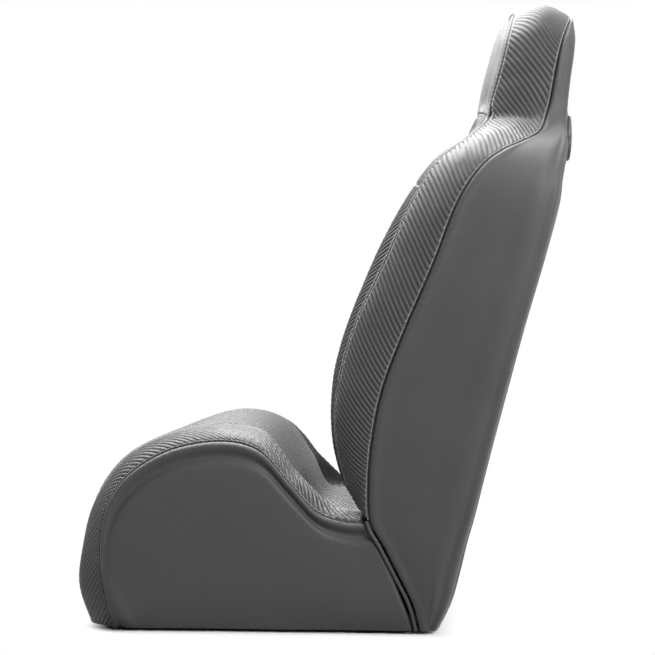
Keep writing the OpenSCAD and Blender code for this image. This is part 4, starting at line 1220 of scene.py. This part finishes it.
# The needle hole, half a stitch along: a flat dark bead of painted shade
hole_place = flow(stitch_row, "ShaderNodeCombineXYZ",
                  {0: given["Pitch"] * 0.5, 2: -0.15 * MM})
hole = made_bead((wide, wide, wide * 0.4), given["Needle Hole"], hole_place)
pair = node(stitch_row, "GeometryNodeJoinGeometry")
connect(stitch, pair.inputs[0])
connect(hole, pair.inputs[0])
sewn = flow(stitch_row, "GeometryNodeInstanceOnPoints",
            {"Points": even, "Instance": pair.outputs[0], "Rotation": turned})
solid = flow(stitch_row, "GeometryNodeRealizeInstances", {0: sewn})
connect(flow(stitch_row, "GeometryNodeSetShadeSmooth", {"Geometry": solid}),
        result["Geometry"])


def line_mesh(name, paths, closed=False):
    """Polylines as one mesh, with the direction out of the cover at each point."""
    points, edges, outs = [], [], []
    for path, out in paths:
        start = len(points)
        points += [tuple(p) for p in path]
        outs += [tuple(o) for o in out]
        edges += [(start + i, start + i + 1) for i in range(len(path) - 1)]
        if closed:
            edges.append((start + len(path) - 1, start))
    mesh = bpy.data.meshes.new(name)
    mesh.from_pydata(points, edges, [])
    layer = mesh.attributes.new("outward", "FLOAT_VECTOR", "POINT")
    layer.data.foreach_set("vector", np.array(outs, np.float32).ravel())
    return mesh


def seam_path(lines, stations, line, offset, surface, step=2.0 * MM):
    """Points beside a seam at an offset across it, laid on the finished cover."""
    s = np.linspace(*stations, 900)
    base = on_cover(lines, s, line)
    ahead = on_cover(lines, s, line + math.copysign(0.05, offset))
    across = ahead - base
    across /= np.maximum(np.linalg.norm(across, axis=1, keepdims=True), 1e-9)
    wanted = base + across * abs(offset)
    run = run_length(wanted)
    even = np.linspace(0, run[-1], max(3, int(run[-1] / step)))
    wanted = np.stack([np.interp(even, run, wanted[:, k]) for k in range(3)], 1)
    out = outward_at(lines, np.interp(even, run, s), line)
    laid = []
    for p in wanted:
        hit, _, _, _ = surface.find_nearest(Vector(p), 0.012)
        laid.append(np.array(hit) if hit else p)
    laid = np.array(laid)
    for _ in range(2):
        laid[1:-1] = (laid[:-2] + 2 * laid[1:-1] + laid[2:]) / 4
    return laid, out


def add_stitches(name, paths, closed=False, **sizes):
    """Sews rows of stitches along these paths on the left, and the same on the right."""
    mesh = run_tree(line_mesh(name, paths, closed), stitch_row, Thread=thread,
                    Needle_Hole=painted_hole_shade, **sizes)
    rows = joined(name + "_rows", [mesh, right_hand(mesh, name + "_right")])
    add_piece(name, rows, "trim_vinyl", thread, painted_hole_shade)


BESIDE_SEAM, TWIN_ROW = 2.2 * MM, 3.4 * MM
ROWS_END = BACK_TOP - 0.25
boxing_surface = surface_of(boxing_cover.data)
inner_surface = surface_of(inner_cover.data, yoke, head)
ridge_stations, side_stations = (BACK_FOOT + 0.1, ROWS_END), (BACK_FOOT + 0.05, ROWS_END)
seat_row = seam_path(seat_lines, (0.4, 9.6), SEAT_SIDE, -BESIDE_SEAM,
                     surface_of(seat_strip.data))
add_stitches("cushion_stitching", [seat_row], Length=4.2 * MM)
side_row = seam_path(back_lines, side_stations, BACK_SIDE, -BESIDE_SEAM, boxing_surface)
add_stitches("side_seam_stitching", [side_row])
twin_rows = [seam_path(back_lines, ridge_stations, BACK_RIDGE, TWIN_ROW, boxing_surface),
             seam_path(back_lines, ridge_stations, BACK_RIDGE, -TWIN_ROW, inner_surface)]
add_stitches("ridge_seam_stitching", twin_rows, Pitch=7.0 * MM, Length=4.0 * MM,
             Hole_Size=2.0 * MM)
ring_paths = []
for search in (front_search, rear_search):
    path, outs = laid_round_slot(SLOT_RADIUS + STITCH_OUT, *search)
    ring_paths.append((path + outs * 0.4 * MM, outs))
add_stitches("harness_stitching", ring_paths, closed=True, Pitch=5.5 * MM, Length=3.6 * MM)

# ---- Piping of the joint
# A cord wrapped in a strip of vinyl, sewn between the cushion's side and the backrest's side so
# that it fills the joint from the floor up into the crease.
piping, given, result = geometry_tree(
    "piping", {"Radius": 3.0 * MM, "Pleat": 9.0 * MM, "Vinyl": "Material"})
round_cord = flow(piping, "GeometryNodeCurvePrimitiveCircle",
                  {"Resolution": 14, "Radius": given["Radius"]})
run = flow(piping, "GeometryNodeSplineParameter", pick="Length")
wrinkle = maths(piping, "SINE", run * math.tau / given["Pleat"])
cord = flow(piping, "GeometryNodeCurveToMesh",
            {"Curve": even_curve(piping, given["Geometry"], 1.5 * MM),
             "Profile Curve": round_cord, "Scale": wrinkle * 0.025 + 1.0, "Fill Caps": True})
smooth = flow(piping, "GeometryNodeSetShadeSmooth", {"Geometry": cord})
solid = flow(piping, "GeometryNodeRealizeInstances", {0: smooth})
connect(made_of(solid, given["Vinyl"]), result["Geometry"])

joint = on_cover(back_lines, np.linspace(0, BACK_FOOT, 41), BACK_SIDE) \
    + np.array([0.5 * MM, -JOINT_GAP * MM / 2, 0])
joint[:, 2] = np.maximum(joint[:, 2], 5 * MM)
path = line_mesh("piping_left", [(joint, np.tile([1.0, 0, 0], (len(joint), 1)))])
left = joined("piping_left", [run_tree(path, piping, Vinyl=trim_vinyl)])
both_hands("welt", left, "trim_vinyl", trim_vinyl)

# ---- Dust cloth
# A thin non-woven sheet stapled under the base, which keeps dust out of the webbing. It is cut
# out round the four mounting tabs, and sags a little between its staples.
dust_low, dust_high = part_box("dust_cloth")
CLOTH_STEP = 7 * MM
NOTCH_X, NOTCH_Y = 168 * MM, (119 * MM, 161 * MM)
felted = Finish("felted_cloth", 0.9, sheen=0.15)
fibre = smooth_step(noise(felted.place, 700.0, 4.0, 2.0), 0.4, 0.65)
felted.paint(fibre, (0.02, 0.02, 0.021), (0.06, 0.06, 0.063))
felted.bump(fibre, 0.0002, 0.8)


def cut_lines(*stops):
    """Evenly spaced lines that include each stop."""
    runs = [np.linspace(a, b, max(2, int(round((b - a) / CLOTH_STEP)) + 1))[:-1]
            for a, b in zip(stops[:-1], stops[1:])]
    return np.append(np.concatenate(runs), stops[-1])


across = cut_lines(dust_low[0], -NOTCH_X, NOTCH_X, dust_high[0])
along = cut_lines(dust_low[1], -NOTCH_Y[1], -NOTCH_Y[0], *NOTCH_Y, dust_high[1])
cloth = bmesh.new()
grid = {}
for i, j in np.ndindex(len(across) - 1, len(along) - 1):
    x = (across[i] + across[i + 1]) / 2
    y = (along[j] + along[j + 1]) / 2
    if abs(x) > NOTCH_X and NOTCH_Y[0] < abs(y) < NOTCH_Y[1]:
        continue
    corners = []
    for a, b in ((i, j), (i + 1, j), (i + 1, j + 1), (i, j + 1)):
        if (a, b) not in grid:
            p = np.array([across[a], along[b], 0.0])
            border = min(p[0] - dust_low[0], dust_high[0] - p[0], p[1] - dust_low[1],
                         dust_high[1] - p[1])
            sag = 0.9 * MM * slow_waves(p, 0.12, 91) * ease(border, 0, 0.05)
            grid[a, b] = cloth.verts.new((p[0], p[1], dust_low[2] + 0.8 * MM + sag))
        corners.append(grid[a, b])
    cloth.faces.new(corners)
cloth_area = sum(face.calc_area() for face in cloth.faces)
bmesh.ops.recalc_face_normals(cloth, faces=cloth.faces)
bmesh.ops.solidify(cloth, geom=cloth.faces[:], thickness=0.6 * MM)
mesh = mesh_from("dust_cover", cloth)
mesh.shade_smooth()
dust_cover = finished_panel("dust_cloth", mesh, "dust_cloth", felted)
